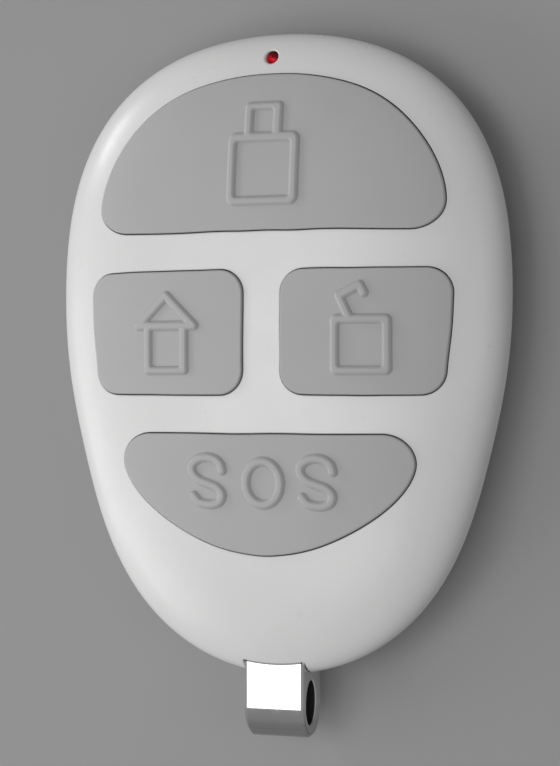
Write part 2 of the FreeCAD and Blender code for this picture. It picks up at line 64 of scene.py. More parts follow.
# ------------------------------------------------------------ case form
def rad(phi):
    return sum(c * np.cos(k * phi) for k, c in enumerate(OUTLINE))


def drad(phi):
    return sum(-c * k * np.sin(k * phi) for k, c in enumerate(OUTLINE))


def rho(x, y, inset=0.0):
    return np.hypot(x, y) / (rad(np.arctan2(x, y)) - inset)


def dome_z(x, y, H=FH, p=FP, q=FQ, inset=0.0):
    return H * np.maximum(1 - rho(x, y, inset) ** p, 0.0) ** (1 / q)


def rear_z(x, y):
    s = dome_z(x, y, RH, RP, RQ)
    k = 0.25
    h = np.maximum(k - np.abs(s - RFLAT), 0) / k
    return -(np.minimum(s, RFLAT) - h * h * k / 4)


def implicit_normal(P, H, p, q):
    x, y, z = P[:, 0], P[:, 1], P[:, 2]
    r = np.maximum(np.hypot(x, y), 1e-9)
    phi = np.arctan2(x, y)
    R, dR = rad(phi), drad(phi)
    ro = r / R
    ex, ey = x / r, y / r
    gx = ex / R - ey * dR / R ** 2
    gy = ey / R + ex * dR / R ** 2
    k = p * ro ** (p - 1)
    n = np.stack([k * gx, k * gy, q * (np.abs(z) / H) ** (q - 1) / H * np.sign(z)], 1)
    return n / np.maximum(np.linalg.norm(n, axis=1), 1e-12)[:, None]


def height_normal(f, x, y, up=1.0, d=0.004):
    zx = (f(x + d, y) - f(x - d, y)) / (2 * d)
    zy = (f(x, y + d) - f(x, y - d)) / (2 * d)
    n = np.stack([-zx * up, -zy * up, np.full_like(zx, up)], 1)
    return n / np.linalg.norm(n, axis=1)[:, None]


# ------------------------------------------------------------ plane curves
def resample(P, n):
    P = np.asarray(P, float)
    Q = np.vstack([P, P[:1]])
    s = np.r_[0, np.cumsum(np.hypot(*np.diff(Q, axis=0).T))]
    t = np.linspace(0, s[-1], n, endpoint=False)
    return np.stack([np.interp(t, s, Q[:, 0]), np.interp(t, s, Q[:, 1])], 1)


def length(P):
    Q = np.vstack([P, P[:1]])
    return float(np.hypot(*np.diff(Q, axis=0).T).sum())


def outward(P):
    T = np.roll(P, -1, 0) - np.roll(P, 1, 0)
    T /= np.linalg.norm(T, axis=1)[:, None]
    N = np.stack([T[:, 1], -T[:, 0]], 1)
    N = (np.roll(N, 1, 0) + 2 * N + np.roll(N, -1, 0)) / 4
    return N / np.linalg.norm(N, axis=1)[:, None]


def offset(P, k, steps=1):
    P = P.copy()
    for _ in range(steps):
        P = P + outward(P) * (k / steps)
        if steps > 1:
            P = P * 0.5 + (np.roll(P, 1, 0) + np.roll(P, -1, 0)) * 0.25
    return P


def arc(cx, cy, rx, ry, a0, a1, ex=2.0, ey=2.0, n=200):
    t = np.radians(a0 + (a1 - a0) * np.arange(n) / n)
    c, s = np.cos(t), np.sin(t)
    return list(zip(cx + rx * np.sign(c) * np.abs(c) ** (2 / ex),
                    cy + ry * np.sign(s) * np.abs(s) ** (2 / ey)))


def circle(cx, cy, r, n):
    a = 2 * np.pi * np.arange(n) / n
    return np.stack([cx + r * np.cos(a), cy + r * np.sin(a)], 1)


def mirrored(right):
    return right + [(-x, y) for x, y in reversed(right) if abs(x) > 1e-6]


def arm_line():
    half = [(13.3 * i / 20.0, 10.93) for i in range(20)]
    half += arc(13.3, 13.4, 3.03, 2.47, -90, 0)
    half += arc(0.0, 13.4, 16.33, 11.73, 0, 90, 2.15, 1.9, 600)
    half.append((0.0, 25.13))
    return resample(mirrored(half), 300)


def sos_line():
    half = arc(0.0, -9.75, 13.83, 8.22, -90, 0, 1.7, 1.7, 600)
    half += arc(10.9, -9.75, 2.93, 2.65, 0, 90)
    half += [(10.9 - 10.9 * i / 20.0, -7.10) for i in range(20)]
    half.append((0.0, -7.10))
    return resample(mirrored(half), 240)


def side_line(sign):
    corners = np.array([(1.71, -3.66), (16.42, -3.66), (17.28, 7.51), (1.71, 7.51)])
    r = 2.2
    pts = []
    for i in range(4):
        p, q, s = corners[i - 1], corners[i], corners[(i + 1) % 4]
        u, w = (p - q) / np.linalg.norm(p - q), (s - q) / np.linalg.norm(s - q)
        half = math.acos(float(u @ w)) / 2
        b = (u + w) / np.linalg.norm(u + w)
        c = q + b * r / math.sin(half)
        e0, e1 = q + u * r / math.tan(half) - c, q + w * r / math.tan(half) - c
        a0, a1 = math.atan2(e0[1], e0[0]), math.atan2(e1[1], e1[0])
        while a1 < a0:
            a1 += 2 * math.pi
        pts += [(c[0] + r * math.cos(a0 + (a1 - a0) * k / 40.0),
                 c[1] + r * math.sin(a0 + (a1 - a0) * k / 40.0)) for k in range(41)]
    P = resample(pts, 200)
    return P if sign > 0 else (P * [-1, 1])[::-1].copy()


STEM = {"arm": (0.0, 17.2), "home": (-9.4, 1.9), "disarm": (9.4, 1.9), "sos": (0.0, -12.2)}
# slow waves round each line about its stem: mean, then cosine and sine of 1, 2, 3... turns
WAVES = {
    "arm": (-0.022, 0.077, -0.026, -0.029, 0.025, 0.039, 0.000, -0.063, -0.004, 0.024, -0.014,
            -0.051, -0.018, 0.002, -0.014, -0.029, -0.016, -0.010, 0.001),
    "home": (-0.028, 0.080, -0.058, -0.017, 0.009, 0.005, 0.004, 0.010, 0.009, -0.020, 0.013,
             0.015, -0.005, -0.015, 0.008, 0.005, -0.003),
    "disarm": (-0.027, 0.070, -0.043, -0.045, 0.001, 0.045, 0.022, 0.005, 0.005, 0.014, 0.012,
               0.020, 0.004, -0.004, 0.008, 0.013, -0.004),
    "sos": (-0.008, 0.045, -0.076, -0.052, -0.017, 0.013, 0.008, -0.028, -0.014, 0.022, 0.028,
            -0.005, 0.003, 0.005, 0.008, 0.001, 0.002),
}


def waved(name, P):
    cx, cy = STEM[name]
    c = WAVES[name]
    t = np.arctan2(P[:, 1] - cy, P[:, 0] - cx)
    d = c[0] + sum(c[2 * k - 1] * np.cos(k * t) + c[2 * k] * np.sin(k * t) for k in range(1, len(c) // 2 + 1))
    return P + outward(P) * d[:, None]


LINES = {"arm": arm_line(), "home": side_line(-1), "disarm": side_line(1), "sos": sos_line()}
LINES = {n: waved(n, P) for n, P in LINES.items()}


def inside(x, y, poly, chunk=4000):
    out = np.zeros(len(x), bool)
    ax, ay = poly[:, 0], poly[:, 1]
    bx, by = np.roll(ax, -1), np.roll(ay, -1)
    for s in range(0, len(x), chunk):
        X, Y = x[s:s + chunk, None], y[s:s + chunk, None]
        c = (ay > Y) != (by > Y)
        with np.errstate(divide="ignore", invalid="ignore"):
            xi = ax + (Y - ay) * (bx - ax) / (by - ay)
        out[s:s + chunk] = (np.count_nonzero(c & (X < xi), axis=1) % 2) == 1
    return out


def dist_to(x, y, poly, closed=True, chunk=4000):
    A = poly if closed else poly[:-1]
    B = np.roll(poly, -1, 0) if closed else poly[1:]
    D = B - A
    L = np.maximum((D ** 2).sum(1), 1e-12)
    out = np.empty(len(x))
    for s in range(0, len(x), chunk):
        X, Y = x[s:s + chunk, None], y[s:s + chunk, None]
        t = np.clip(((X - A[:, 0]) * D[:, 0] + (Y - A[:, 1]) * D[:, 1]) / L, 0, 1)
        dx, dy = X - A[:, 0] - t * D[:, 0], Y - A[:, 1] - t * D[:, 1]
        out[s:s + chunk] = np.sqrt((dx * dx + dy * dy).min(1))
    return out


# ------------------------------------------------------------ raised marks
def sd_box(x, y, x0, x1, y0, y1, r):
    qx = np.abs(x - (x0 + x1) / 2) - (x1 - x0) / 2 + r
    qy = np.abs(y - (y0 + y1) / 2) - (y1 - y0) / 2 + r
    return np.hypot(np.maximum(qx, 0), np.maximum(qy, 0)) + np.minimum(np.maximum(qx, qy), 0) - r


def sd_ring(x, y, outer, inner, ro, ri):
    return np.maximum(sd_box(x, y, *outer, ro), -sd_box(x, y, *inner, ri))


def sd_path(x, y, pts, closed=False, w=ICON_W):
    shape = np.shape(x)
    return dist_to(np.ravel(x), np.ravel(y), np.asarray(pts, float), closed).reshape(shape) - w / 2


def smin(a, b, k=0.16):
    h = np.maximum(k - np.abs(a - b), 0) / k
    return np.minimum(a, b) - h * h * k / 4


S_PATH = [(1.48, 0.93), (1.28, 1.54), (0.72, 1.95), (0.0, 2.10), (-0.80, 1.95),
          (-1.36, 1.52), (-1.50, 1.05), (-1.28, 0.50), (-0.70, 0.02), (0.12, -0.27),
          (0.86, -0.56), (1.32, -0.99), (1.40, -1.40), (1.14, -1.87), (0.54, -2.10),
          (-0.15, -2.09), (-0.84, -1.90), (-1.34, -1.34)]


def smooth_path(pts, per=6):
    P = np.asarray(pts, float)
    P = np.vstack([2 * P[0] - P[1], P, 2 * P[-1] - P[-2]])
    out = []
    for i in range(1, len(P) - 2):
        a, b, c, d = P[i - 1], P[i], P[i + 1], P[i + 2]
        for t in np.arange(per) / per:
            out.append(0.5 * (2 * b + (c - a) * t + (2 * a - 5 * b + 4 * c - d) * t * t
                              + (3 * b - a - 3 * c + d) * t ** 3))
    out.append(P[-2])
    return np.array(out)


S_LINE = smooth_path(S_PATH)
HX = -9.185


def sd_arm(x, y):
    body = sd_ring(x, y, (-3.325, 3.395, 13.15, 19.75), (-2.505, 2.52, 13.98, 18.86), 0.75, 0.18)
    shackle = np.maximum(sd_ring(x, y, (-1.88, 1.74, 19.0, 22.50), (-1.005, 0.795, 18.0, 21.755), 0.42, 0.12), 19.3 - y)
    return smin(body, shackle, 0.10)


def sd_home(x, y):
    roof = sd_path(x, y, [(HX - 2.66, 2.52), (HX + 2.91, 2.52), (HX + 0.12, 5.22)], True)
    walls = sd_ring(x, y, (HX - 2.11, HX + 2.35, -1.895, 2.90), (HX - 1.29, HX + 1.50, -1.12, 2.14), 0.42, 0.12)
    return smin(roof, walls, 0.10)


def sd_disarm(x, y):
    body = sd_ring(x, y, (6.495, 11.985, -1.95, 3.40), (7.325, 11.105, -1.14, 2.55), 0.58, 0.16)
    return smin(body, sd_path(x, y, [(8.25, 3.0), (7.31, 5.02), (9.15, 5.93), (9.49, 5.27)]), 0.10)


def sd_sos(x, y):
    o = circle(0, 0, 1, 72) * [1.62, 1.92] + [0.22, -11.52]
    s = np.minimum(sd_path(x, y, S_LINE + [-5.12, -11.38]), sd_path(x, y, S_LINE + [5.18, -11.40]))
    return np.minimum(s, sd_path(x, y, o, True))


MARKS = {"arm": (sd_arm, (-4.0, 4.0, 12.6, 23.2)), "home": (sd_home, (-13.2, -5.2, -2.5, 6.4)),
         "disarm": (sd_disarm, (5.8, 12.5, -2.5, 7.0)), "sos": (sd_sos, (-7.6, 7.6, -14.5, -8.5))}
S_OUT, S_IN = 0.035, -0.325


def mark_height(s):
    t = np.clip((S_OUT - s) / (S_OUT - S_IN), 0, 1)
    return ICON_H * t * (2 - t)


def iso_lines(f, box, level, step=0.08):
    """Closed runs where f = level, anticlockwise round the lower side."""
    xs = np.arange(box[0], box[1] + step, step)
    ys = np.arange(box[2], box[3] + step, step)
    X, Y = np.meshgrid(xs, ys, indexing="ij")
    G = f(X, Y) - level
    G[G == 0] = 1e-9
    sgn = G < 0
    links, places = {}, {}

    def cross(i0, j0, i1, j1):
        key = (i0, j0, i1, j1)
        if key not in places:
            a, b = G[i0, j0], G[i1, j1]
            t = a / (a - b)
            places[key] = (xs[i0] + (xs[i1] - xs[i0]) * t, ys[j0] + (ys[j1] - ys[j0]) * t)
        return key

    mixed = sgn[:-1, :-1].astype(int) + sgn[1:, :-1] + sgn[1:, 1:] + sgn[:-1, 1:]
    for i, j in zip(*np.nonzero((mixed > 0) & (mixed < 4))):
        c = [(i, j), (i + 1, j), (i + 1, j + 1), (i, j + 1)]
        hits = []
        for k in range(4):
            p, q = c[k], c[(k + 1) % 4]
            if sgn[p] != sgn[q]:
                lo, hi = (p, q) if p < q else (q, p)
                hits.append((cross(*lo, *hi), bool(sgn[p])))
        # going anticlockwise round the cell, a run leaves where it goes from in to out
        outs = [h for h, was_in in hits if was_in]
        ins = [h for h, was_in in hits if not was_in]
        if len(outs) == 1:
            links[outs[0]] = ins[0]
        else:
            order = [h for h, _ in hits]
            for o in outs:
                k = order.index(o)
                links[o] = order[(k + 1) % 4]
    runs, used = [], set()
    for start in list(links):
        if start in used:
            continue
        run, k = [], start
        while k not in used and k in links:
            used.add(k)
            run.append(places[k])
            k = links[k]
        if len(run) > 8:
            runs.append(np.array(run))
    return runs


def on_level(P, f, level):
    d = 0.002
    for _ in range(4):
        x, y = P[:, 0], P[:, 1]
        gx = (f(x + d, y) - f(x - d, y)) / (2 * d)
        gy = (f(x, y + d) - f(x, y - d)) / (2 * d)
        g2 = np.maximum(gx * gx + gy * gy, 0.3)
        e = np.clip(f(x, y) - level, -0.05, 0.05)
        P = P - np.stack([e * gx / g2, e * gy / g2], 1)
    return P


# ------------------------------------------------------------ mesh soup
class Soup:
    def __init__(self):
        self.v, self.f, self.n = [], [], 0

    def add(self, P):
        P = np.asarray(P, float)
        self.v.append(P)
        self.n += len(P)
        return np.arange(self.n - len(P), self.n)

    def loop(self, xy, z):
        z = np.broadcast_to(z, (len(xy),))
        return self.add(np.column_stack([xy, z]))

    def strip(self, a, b, flip=False):
        """Faces between two closed runs of equal count."""
        a2, b2 = np.roll(a, -1), np.roll(b, -1)
        q = np.stack([a, a2, b2, b], 1)
        self.f += (q[:, ::-1] if flip else q).tolist()

    def fan(self, tris):
        self.f += [list(t) for t in tris]

    def mesh(self, name):
        V = np.vstack(self.v)
        m = bpy.data.meshes.new(name)
        m.from_pydata(((V + SHIFT) * 0.001).tolist(), [], self.f)
        m.validate()
        m.update()
        return m


def triangles(P, loops, keep):
    """Constrained Delaunay of the plane points P, with the given closed runs of indices as edges.
    Where runs cross, the crossing comes back as a further point, numbered on from P."""
    edges = [(int(l[i]), int(l[(i + 1) % len(l)])) for l in loops for i in range(len(l))]
    vo, eo, fo, ov, oe, of = delaunay_2d_cdt([Vector((float(a), float(b))) for a, b in P],
                                             edges, [], 0, 1e-9)
    back, more = [], []
    for i, o in enumerate(ov):
        if len(o):
            back.append(o[0])
        else:
            back.append(len(P) + len(more))
            more.append(tuple(vo[i]))
    more = np.array(more, float).reshape(-1, 2)
    P = np.vstack([P, more])
    T = np.array([[back[i] for i in f] for f in fo if len(f) == 3])
    A, B, C = P[T[:, 0]], P[T[:, 1]], P[T[:, 2]]
    area = (B[:, 0] - A[:, 0]) * (C[:, 1] - A[:, 1]) - (B[:, 1] - A[:, 1]) * (C[:, 0] - A[:, 0])
    T[area < 0] = T[area < 0][:, ::-1]
    T = T[np.abs(area) > 1e-10]
    M = (P[T[:, 0]] + P[T[:, 1]] + P[T[:, 2]]) / 3
    return T[keep(M[:, 0], M[:, 1])], more


def hexgrid(x0, x1, y0, y1, s):
    rows = []
    for j, y in enumerate(np.arange(y0, y1, s * 0.866)):
        xs = np.arange(x0 + (j % 2) * s / 2, x1, s)
        rows.append(np.stack([xs, np.full_like(xs, y)], 1))
    return np.vstack(rows)


def sheet(S, zf, outer, holes, extra, spacing, margin, up=True):
    """A triangulated sheet z = zf(x, y) inside the run outer and outside holes (index runs
    already in S). extra are more plane points that it passes through, with their own edges."""
    V = np.vstack(S.v)
    runs = [outer] + holes
    polys = [V[r][:, :2] for r in runs]
    P = [V[r][:, :2] for r in runs]
    ids = [np.asarray(r) for r in runs]
    cons, n = [], 0
    for r in runs:
        cons.append(np.arange(n, n + len(r)))
        n += len(r)
    fill = []
    for e in extra:
        k = S.loop(e, zf(e[:, 0], e[:, 1]))
        P.append(e)
        ids.append(k)
        cons.append(np.arange(n, n + len(e)))
        n += len(e)
    lo, hi = polys[0].min(0), polys[0].max(0)
    G = hexgrid(lo[0] + 0.13, hi[0], lo[1] + 0.07, hi[1], spacing)
    ok = inside(G[:, 0], G[:, 1], polys[0])
    for q in polys[1:]:
        ok &= ~inside(G[:, 0], G[:, 1], q)
    G = G[ok]
    for q in polys + list(extra):
        G = G[dist_to(G[:, 0], G[:, 1], q) > margin]
    if len(G):
        k = S.loop(G, zf(G[:, 0], G[:, 1]))
        P.append(G)
        ids.append(k)
    P, ids = np.vstack(P), np.concatenate(ids)

    def keep(cx, cy):
        m = inside(cx, cy, polys[0])
        for q in polys[1:]:
            m &= ~inside(cx, cy, q)
        return m

    T, more = triangles(P, cons, keep)
    if len(more):
        ids = np.concatenate([ids, S.loop(more, zf(more[:, 0], more[:, 1]))])
    T = ids[T]
    S.fan(T if up else T[:, ::-1])


def ring_xy(N, ro, inset=0.0):
    phi = -2 * np.pi * np.arange(N) / N
    r = (rad(phi) - inset) * ro
    return np.stack([r * np.sin(phi), r * np.cos(phi)], 1)


# ------------------------------------------------------------ objects
COLL = bpy.context.scene.collection


def new_object(name, mesh):
    o = bpy.data.objects.new(name, mesh)
    COLL.objects.link(o)
    return o


def combine(obj, tool, how, may_miss=False):
    """Boolean of two closed meshes, baked into obj; the tool is thrown away."""
    m = obj.modifiers.new("cut", "BOOLEAN")
    m.operation, m.solver, m.object = how, "MANIFOLD", tool
    bpy.context.view_layer.update()
    dg = bpy.context.evaluated_depsgraph_get()
    mesh = bpy.data.meshes.new_from_object(obj.evaluated_get(dg))
    obj.modifiers.remove(m)
    old = obj.data
    same = (len(mesh.vertices), len(mesh.polygons)) == (len(obj.data.vertices), len(obj.data.polygons))
    if not len(mesh.polygons) or (same and not may_miss):
        raise RuntimeError(f"{how} on {obj.name} did nothing")
    obj.data = mesh
    bpy.data.meshes.remove(old)
    tm = tool.data
    bpy.data.objects.remove(tool)
    bpy.data.meshes.remove(tm)
    return obj


def dome_solid(name, H, p, q, inset, sign=1, dz=0.0, down=0.0, N=240, inner=0.0):
    """The dome as a closed solid; down carries its rim on below the parting plane."""
    S = Soup()
    hs = [0, .06, .13, .2, .28, .36, .44, .52, .60, .68, .75, .81, .86, .90, .93, .955, .975, .99, .997]
    loops = []
    if down:
        loops.append(S.loop(ring_xy(N, 1.0, inset), dz - sign * down))
    for h in hs:
        loops.append(S.loop(ring_xy(N, (1 - h ** q) ** (1 / p), inset), dz + sign * h * H))
    for a, b in zip(loops, loops[1:]):
        S.strip(a, b, flip=sign < 0)
    top = S.add([[0, 0, dz + sign * H]])[0]
    bot = S.add([[0, 0, dz - sign * down]])[0]
    for i in range(N):
        j = (i + 1) % N
        a, b = loops[-1], loops[0]
        t, u = [a[i], a[j], top], [b[j], b[i], bot]
        S.f += [t if sign > 0 else t[::-1], u if sign > 0 else u[::-1]]
    return new_object(name, S.mesh(name))


def prism(name, xy, z0, z1):
    S = Soup()
    a, b = S.loop(xy, z0), S.loop(xy, z1)
    S.strip(a, b)
    S.f += [list(b), list(a)[::-1]]
    return new_object(name, S.mesh(name))


def ring_prism(name, outer, inner, z0, z1):
    S = Soup()
    a, b, c, d = S.loop(outer, z0), S.loop(outer, z1), S.loop(inner, z1), S.loop(inner, z0)
    S.strip(a, b)
    S.strip(b, c)
    S.strip(c, d)
    S.strip(d, a)
    return new_object(name, S.mesh(name))


def rect(x0, x1, y0, y1):
    return np.array([(x0, y0), (x1, y0), (x1, y1), (x0, y1)], float)


def block(name, x0, x1, y0, y1, z0, z1):
    return prism(name, rect(x0, x1, y0, y1), z0, z1)


def set_normals(obj, surface, sharp=32.0):
    """Smooth shading, with exact normals where a corner lies on the moulded surface.
    surface(P) gives (mask, normals) for points in drawing millimetres."""
    me = obj.data
    me.polygons.foreach_set("use_smooth", np.ones(len(me.polygons), bool))
    me.set_sharp_from_angle(angle=math.radians(sharp))
    nl = len(me.loops)
    cn = np.empty(nl * 3, np.float32)
    me.corner_normals.foreach_get("vector", cn)
    cn = cn.reshape(-1, 3).astype(float)
    if surface is None:
        return
    vi = np.empty(nl, np.int32)
    me.loops.foreach_get("vertex_index", vi)
    co = np.empty(len(me.vertices) * 3, np.float32)
    me.vertices.foreach_get("co", co)
    P = co.reshape(-1, 3).astype(float) * 1000 - SHIFT
    on, N = surface(P)
    tot = np.empty(len(me.polygons), np.int32)
    me.polygons.foreach_get("loop_total", tot)
    fn = np.empty(len(me.polygons) * 3, np.float32)
    me.polygons.foreach_get("normal", fn)
    fn = np.repeat(fn.reshape(-1, 3).astype(float), tot, axis=0)
    NN = N[vi]
    use = on[vi] & ((fn * NN).sum(1) > 0.93)
    cn[use] = NN[use]
    me.normals_split_custom_set(cn.tolist())


# ------------------------------------------------------------ lug notch
def notch_cutter(name, rows):
    """The pocket for the lug, opening into the case side, with eased edges."""
    nx0, nx1, nz0, nz1, r, n = -3.08, 2.87, -2.62, 2.637, 0.22, 8
    base = []
    for cx, cz, a0 in ((nx1 - r, nz1 - r, 0), (nx0 + r, nz1 - r, 90), (nx0 + r, nz0 + r, 180), (nx1 - r, nz0 + r, 270)):
        for k in range(n + 1):
            a = math.radians(a0 + 90 * k / n)
            base.append((cx + r * math.cos(a), cz + r * math.sin(a), math.cos(a), math.sin(a)))
    fine = []
    for i in range(len(base)):
        a, b = np.array(base[i]), np.array(base[(i + 1) % len(base)])
        m = max(1, int(np.hypot(*(b - a)[:2]) / 0.3))
        for k in range(m):
            c = a + (b - a) * k / m
            fine.append(c)
    base = np.array(fine)
    base[:, 2:] /= np.linalg.norm(base[:, 2:], axis=1)[:, None]

    def y_surface(x, z):
        H, p, q = (np.where(z >= 0, FH, RH), np.where(z >= 0, FP, RP), np.where(z >= 0, FQ, RQ))
        ro = (1 - np.minimum(np.abs(z) / H, 0.999) ** q) ** (1 / p)
        y = np.full_like(x, -28.5)
        for _ in range(30):
            r = rad(np.arctan2(x, y)) * ro
            y = -np.sqrt(np.maximum(r * r - x * x, 1))
        return y

    S = Soup()
    loops = []
    RS = 0.14
    grow = [(1.3 * RS, -0.9), (0.62 * RS, 0.02), (0.29 * RS, 0.3 * RS), (0.076 * RS, 0.62 * RS), (0.0, RS)]
    for e, dy in grow:
        x = base[:, 0] + base[:, 2] * e
        z = base[:, 1] + base[:, 3] * e
        y = y_surface(x, z) + dy
        loops.append(S.add(np.stack([x, y, z], 1)))
    loops.append(S.add(np.stack([base[:, 0], np.full(len(base), -26.95), base[:, 1]], 1)))
    for a, b in zip(loops, loops[1:]):
        S.strip(a, b, flip=True)
    S.f += [list(loops[0]), list(loops[-1])[::-1]]
    o = new_object(name, S.mesh(name))
    return o


def fix_winding(o):
    import bmesh
    bm = bmesh.new()
    bm.from_mesh(o.data)
    bmesh.ops.recalc_face_normals(bm, faces=bm.faces)
    if bm.calc_volume(signed=True) < 0:
        bmesh.ops.reverse_faces(bm, faces=bm.faces)
    bm.to_mesh(o.data)
    bm.free()
    return o


# ------------------------------------------------------------ front shell
ROWS = [math.radians(a) for a in (0, 18, 36, 54, 72, 90)]
LAMP_N = 48


def front_surface(P):
    F = rho(P[:, 0], P[:, 1]) ** FP + (np.abs(P[:, 2]) / FH) ** FQ - 1
    return (np.abs(F) < 1e-3) & (P[:, 2] > 0.12), implicit_normal(P, FH, FP, FQ)


def build_front():
    S = Soup()
    N = 400
    e = 0.09
    rim = []
    for a in (0, 30, 60, 90):
        t = math.radians(a)
        xy = ring_xy(N, 1.0, e * (1 - math.sin(t)))
        rim.append(S.loop(xy, e * (1 - math.cos(t))))
    hs = [0.03, .06, .10, .14, .19, .24, .29, .34, .39, 0.4316]
    loops = [rim[-1]]
    for h in hs:
        ro = (1 - h ** FQ) ** (1 / FP)
        loops.append(S.loop(ring_xy(N, ro), h * FH))
    for a, b in zip(rim, rim[1:]):
        S.strip(a, b)
    for a, b in zip(loops, loops[1:]):
        S.strip(a, b)
    holes, bottoms, extra = [], [], []
    for name, line in LINES.items():
        prev = None
        for t in ROWS:
            xy = offset(line, GAP + R_CASE * (1 - math.sin(t)))
            k = S.loop(xy, dome_z(xy[:, 0], xy[:, 1]) - R_CASE * (1 - math.cos(t)))
            if prev is None:
                holes.append(k)
            else:
                S.strip(k, prev)
            prev = k
        b = S.loop(offset(line, GAP), 0.0)
        S.strip(b, prev)
        bottoms.append(b)
        extra.append(resample(offset(line, GAP + R_CASE + 0.28), int(length(line) / 0.42)))
    prev, rl = None, 0.18
    for t in ROWS:
        xy = circle(0, LAMP_Y, LAMP_R + rl * (1 - math.sin(t)), LAMP_N)
        k = S.loop(xy, dome_z(xy[:, 0], xy[:, 1]) - rl * (1 - math.cos(t)))
        if prev is None:
            holes.append(k)
        else:
            S.strip(k, prev)
        prev = k
    b = S.loop(circle(0, LAMP_Y, LAMP_R, LAMP_N), 0.0)
    S.strip(b, prev)
    bottoms.append(b)
    extra.append(circle(0, LAMP_Y, LAMP_R + 0.36, 40))
    sheet(S, dome_z, loops[-1], holes, extra, 0.62, 0.30)
    sheet(S, lambda x, y: np.zeros_like(x), rim[0], bottoms, [], 3.0, 0.8, up=False)
    return new_object("case_front", S.mesh("case_front"))


def front_piece():
    o = fix_winding(build_front())
    cav = dome_solid("cav", FH - FRONT_T, FP, FQ, WALL, down=1.0)
    reb = prism("reb", ring_xy(240, 1.0, 0.84), -1.0, 0.90)
    combine(cav, reb, "UNION")
    for i, (x, y, z) in enumerate(SCREWS):
        combine(cav, prism("b", circle(x, y, 1.9, 48), 0.0, 9), "DIFFERENCE")
    for x, y in ((0.0, 9.2), (0.0, -5.4)):
        combine(cav, prism("b", circle(x, y, 1.0, 32), 1.15, 9), "DIFFERENCE")
    combine(cav, block("b", -4.8, 4.8, -29, -25.80, 0, 9), "DIFFERENCE")
    combine(o, cav, "DIFFERENCE")
    combine(o, fix_winding(notch_cutter("n", 5)), "DIFFERENCE")
    combine(o, block("n", -2.3, 2.3, -29, -25.5, -1.4, 1.4), "DIFFERENCE")
    for x, y, z in SCREWS:
        combine(o, prism("b", circle(x, y, 0.85, 24), -1, z + 3.85), "DIFFERENCE")
    set_normals(o, front_surface)
    return o


# ------------------------------------------------------------ rear shell
def rear_surface(P):
    x, y, z = P.T
    F = rho(x, y) ** RP + (np.abs(z) / RH) ** RQ - 1
    zr = rear_z(x, y)
    steep = rho(x, y) > 0.93
    N = implicit_normal(P, RH, RP, RQ)
    H = height_normal(rear_z, x, y, up=-1.0)
    N = np.where(steep[:, None], N, H * [-1, -1, 1] * 1.0)
    H2 = height_normal(lambda a, b: rear_z(a, b), x, y)
    N = np.where(steep[:, None], implicit_normal(P, RH, RP, RQ), -H2)
    on = np.where(steep, (np.abs(F) < 1e-3) & (z < -0.12), np.abs(z - zr) < 2e-3)
    return on, N


def build_rear():
    S = Soup()
    N = 400
    e = 0.09
    rim = []
    for a in (0, 30, 60, 90):
        t = math.radians(a)
        rim.append(S.loop(ring_xy(N, 1.0, e * (1 - math.sin(t))), -e * (1 - math.cos(t))))
    loops = [rim[-1]]
    for h in [0.035, .07, .11, .15, .19, .23, .27, .31, .3366]:
        ro = (1 - h ** RQ) ** (1 / RP)
        loops.append(S.loop(ring_xy(N, ro), -h * RH))
    for a, b in zip(rim, rim[1:]):
        S.strip(b, a)
    for a, b in zip(loops, loops[1:]):
        S.strip(b, a)
    holes, tops, extra = [], [], []
    rr = 0.14
    for x, y, z in SCREWS:
        prev = None
        for t in ROWS:
            xy = circle(x, y, 1.70 + rr * (1 - math.sin(t)), 64)
            k = S.loop(xy, rear_z(xy[:, 0], xy[:, 1]) + rr * (1 - math.cos(t)))
            if prev is None:
                holes.append(k)
            else:
                S.strip(prev, k)
            prev = k
        for r, zz in ((1.70, z - 0.10), (1.67, z - 0.03), (1.60, z), (0.95, z), (0.95, 0.80)):
            k = S.loop(circle(x, y, r, 64), zz)
            S.strip(prev, k)
            prev = k
        tops.append(k)
        extra.append(circle(x, y, 1.70 + rr + 0.25, 48))
    # step up to the tongue
    a = rim[0]
    for inset, z in ((0.90, 0.0), (0.90, 0.72), (0.96, 0.80)):
        b = S.loop(ring_xy(N, 1.0, inset), z)
        S.strip(a, b)
        a = b
    sheet(S, rear_z, loops[-1], holes, extra, 0.8, 0.35, up=False)
    sheet(S, lambda x, y: np.full_like(x, 0.8), a, tops, [], 3.0, 0.8)
    return new_object("case_rear", S.mesh("case_rear"))


def rear_piece():
    o = fix_winding(build_rear())
    cav = dome_solid("cav", RH - REAR_T, RP, RQ, WALL, sign=-1, down=2.0)
    combine(cav, block("b", -40, 40, -40, 40, -20, -RFLAT + REAR_T), "DIFFERENCE")
    for x, y, z in SCREWS:
        combine(cav, prism("b", circle(x, y, 2.3, 48), -9, 0.0), "DIFFERENCE")
    for x, y in ((10.5, 19.2), (-10.5, 19.2), (13.5, -12.5), (-13.5, -12.5)):
        combine(cav, prism("b", circle(x, y, 1.0, 32), -9, 0.15), "DIFFERENCE")
    ringc = ring_prism("b", circle(0, -1, 11.6, 96), circle(0, -1, 10.8, 96), -9, -2.7)
    combine(ringc, block("c", -14, 14, -4.2, 2.2, -10, 0), "DIFFERENCE")
    combine(cav, ringc, "DIFFERENCE")
    combine(cav, block("b", -4.8, 4.8, -30, -25.80, -9, 0), "DIFFERENCE")
    combine(o, cav, "DIFFERENCE")
    combine(o, block("b", -5.2, 5.2, -40, -20, 0, 2), "DIFFERENCE")
    for x, y, z in SCREWS:
        combine(o, prism("b", circle(x, y, 2.35, 48), 0.0, 2), "DIFFERENCE", may_miss=True)
    combine(o, fix_winding(notch_cutter("n", 5)), "DIFFERENCE")
    combine(o, block("n", -2.3, 2.3, -29, -25.5, -1.4, 1.4), "DIFFERENCE")
    set_normals(o, rear_surface)
    return o


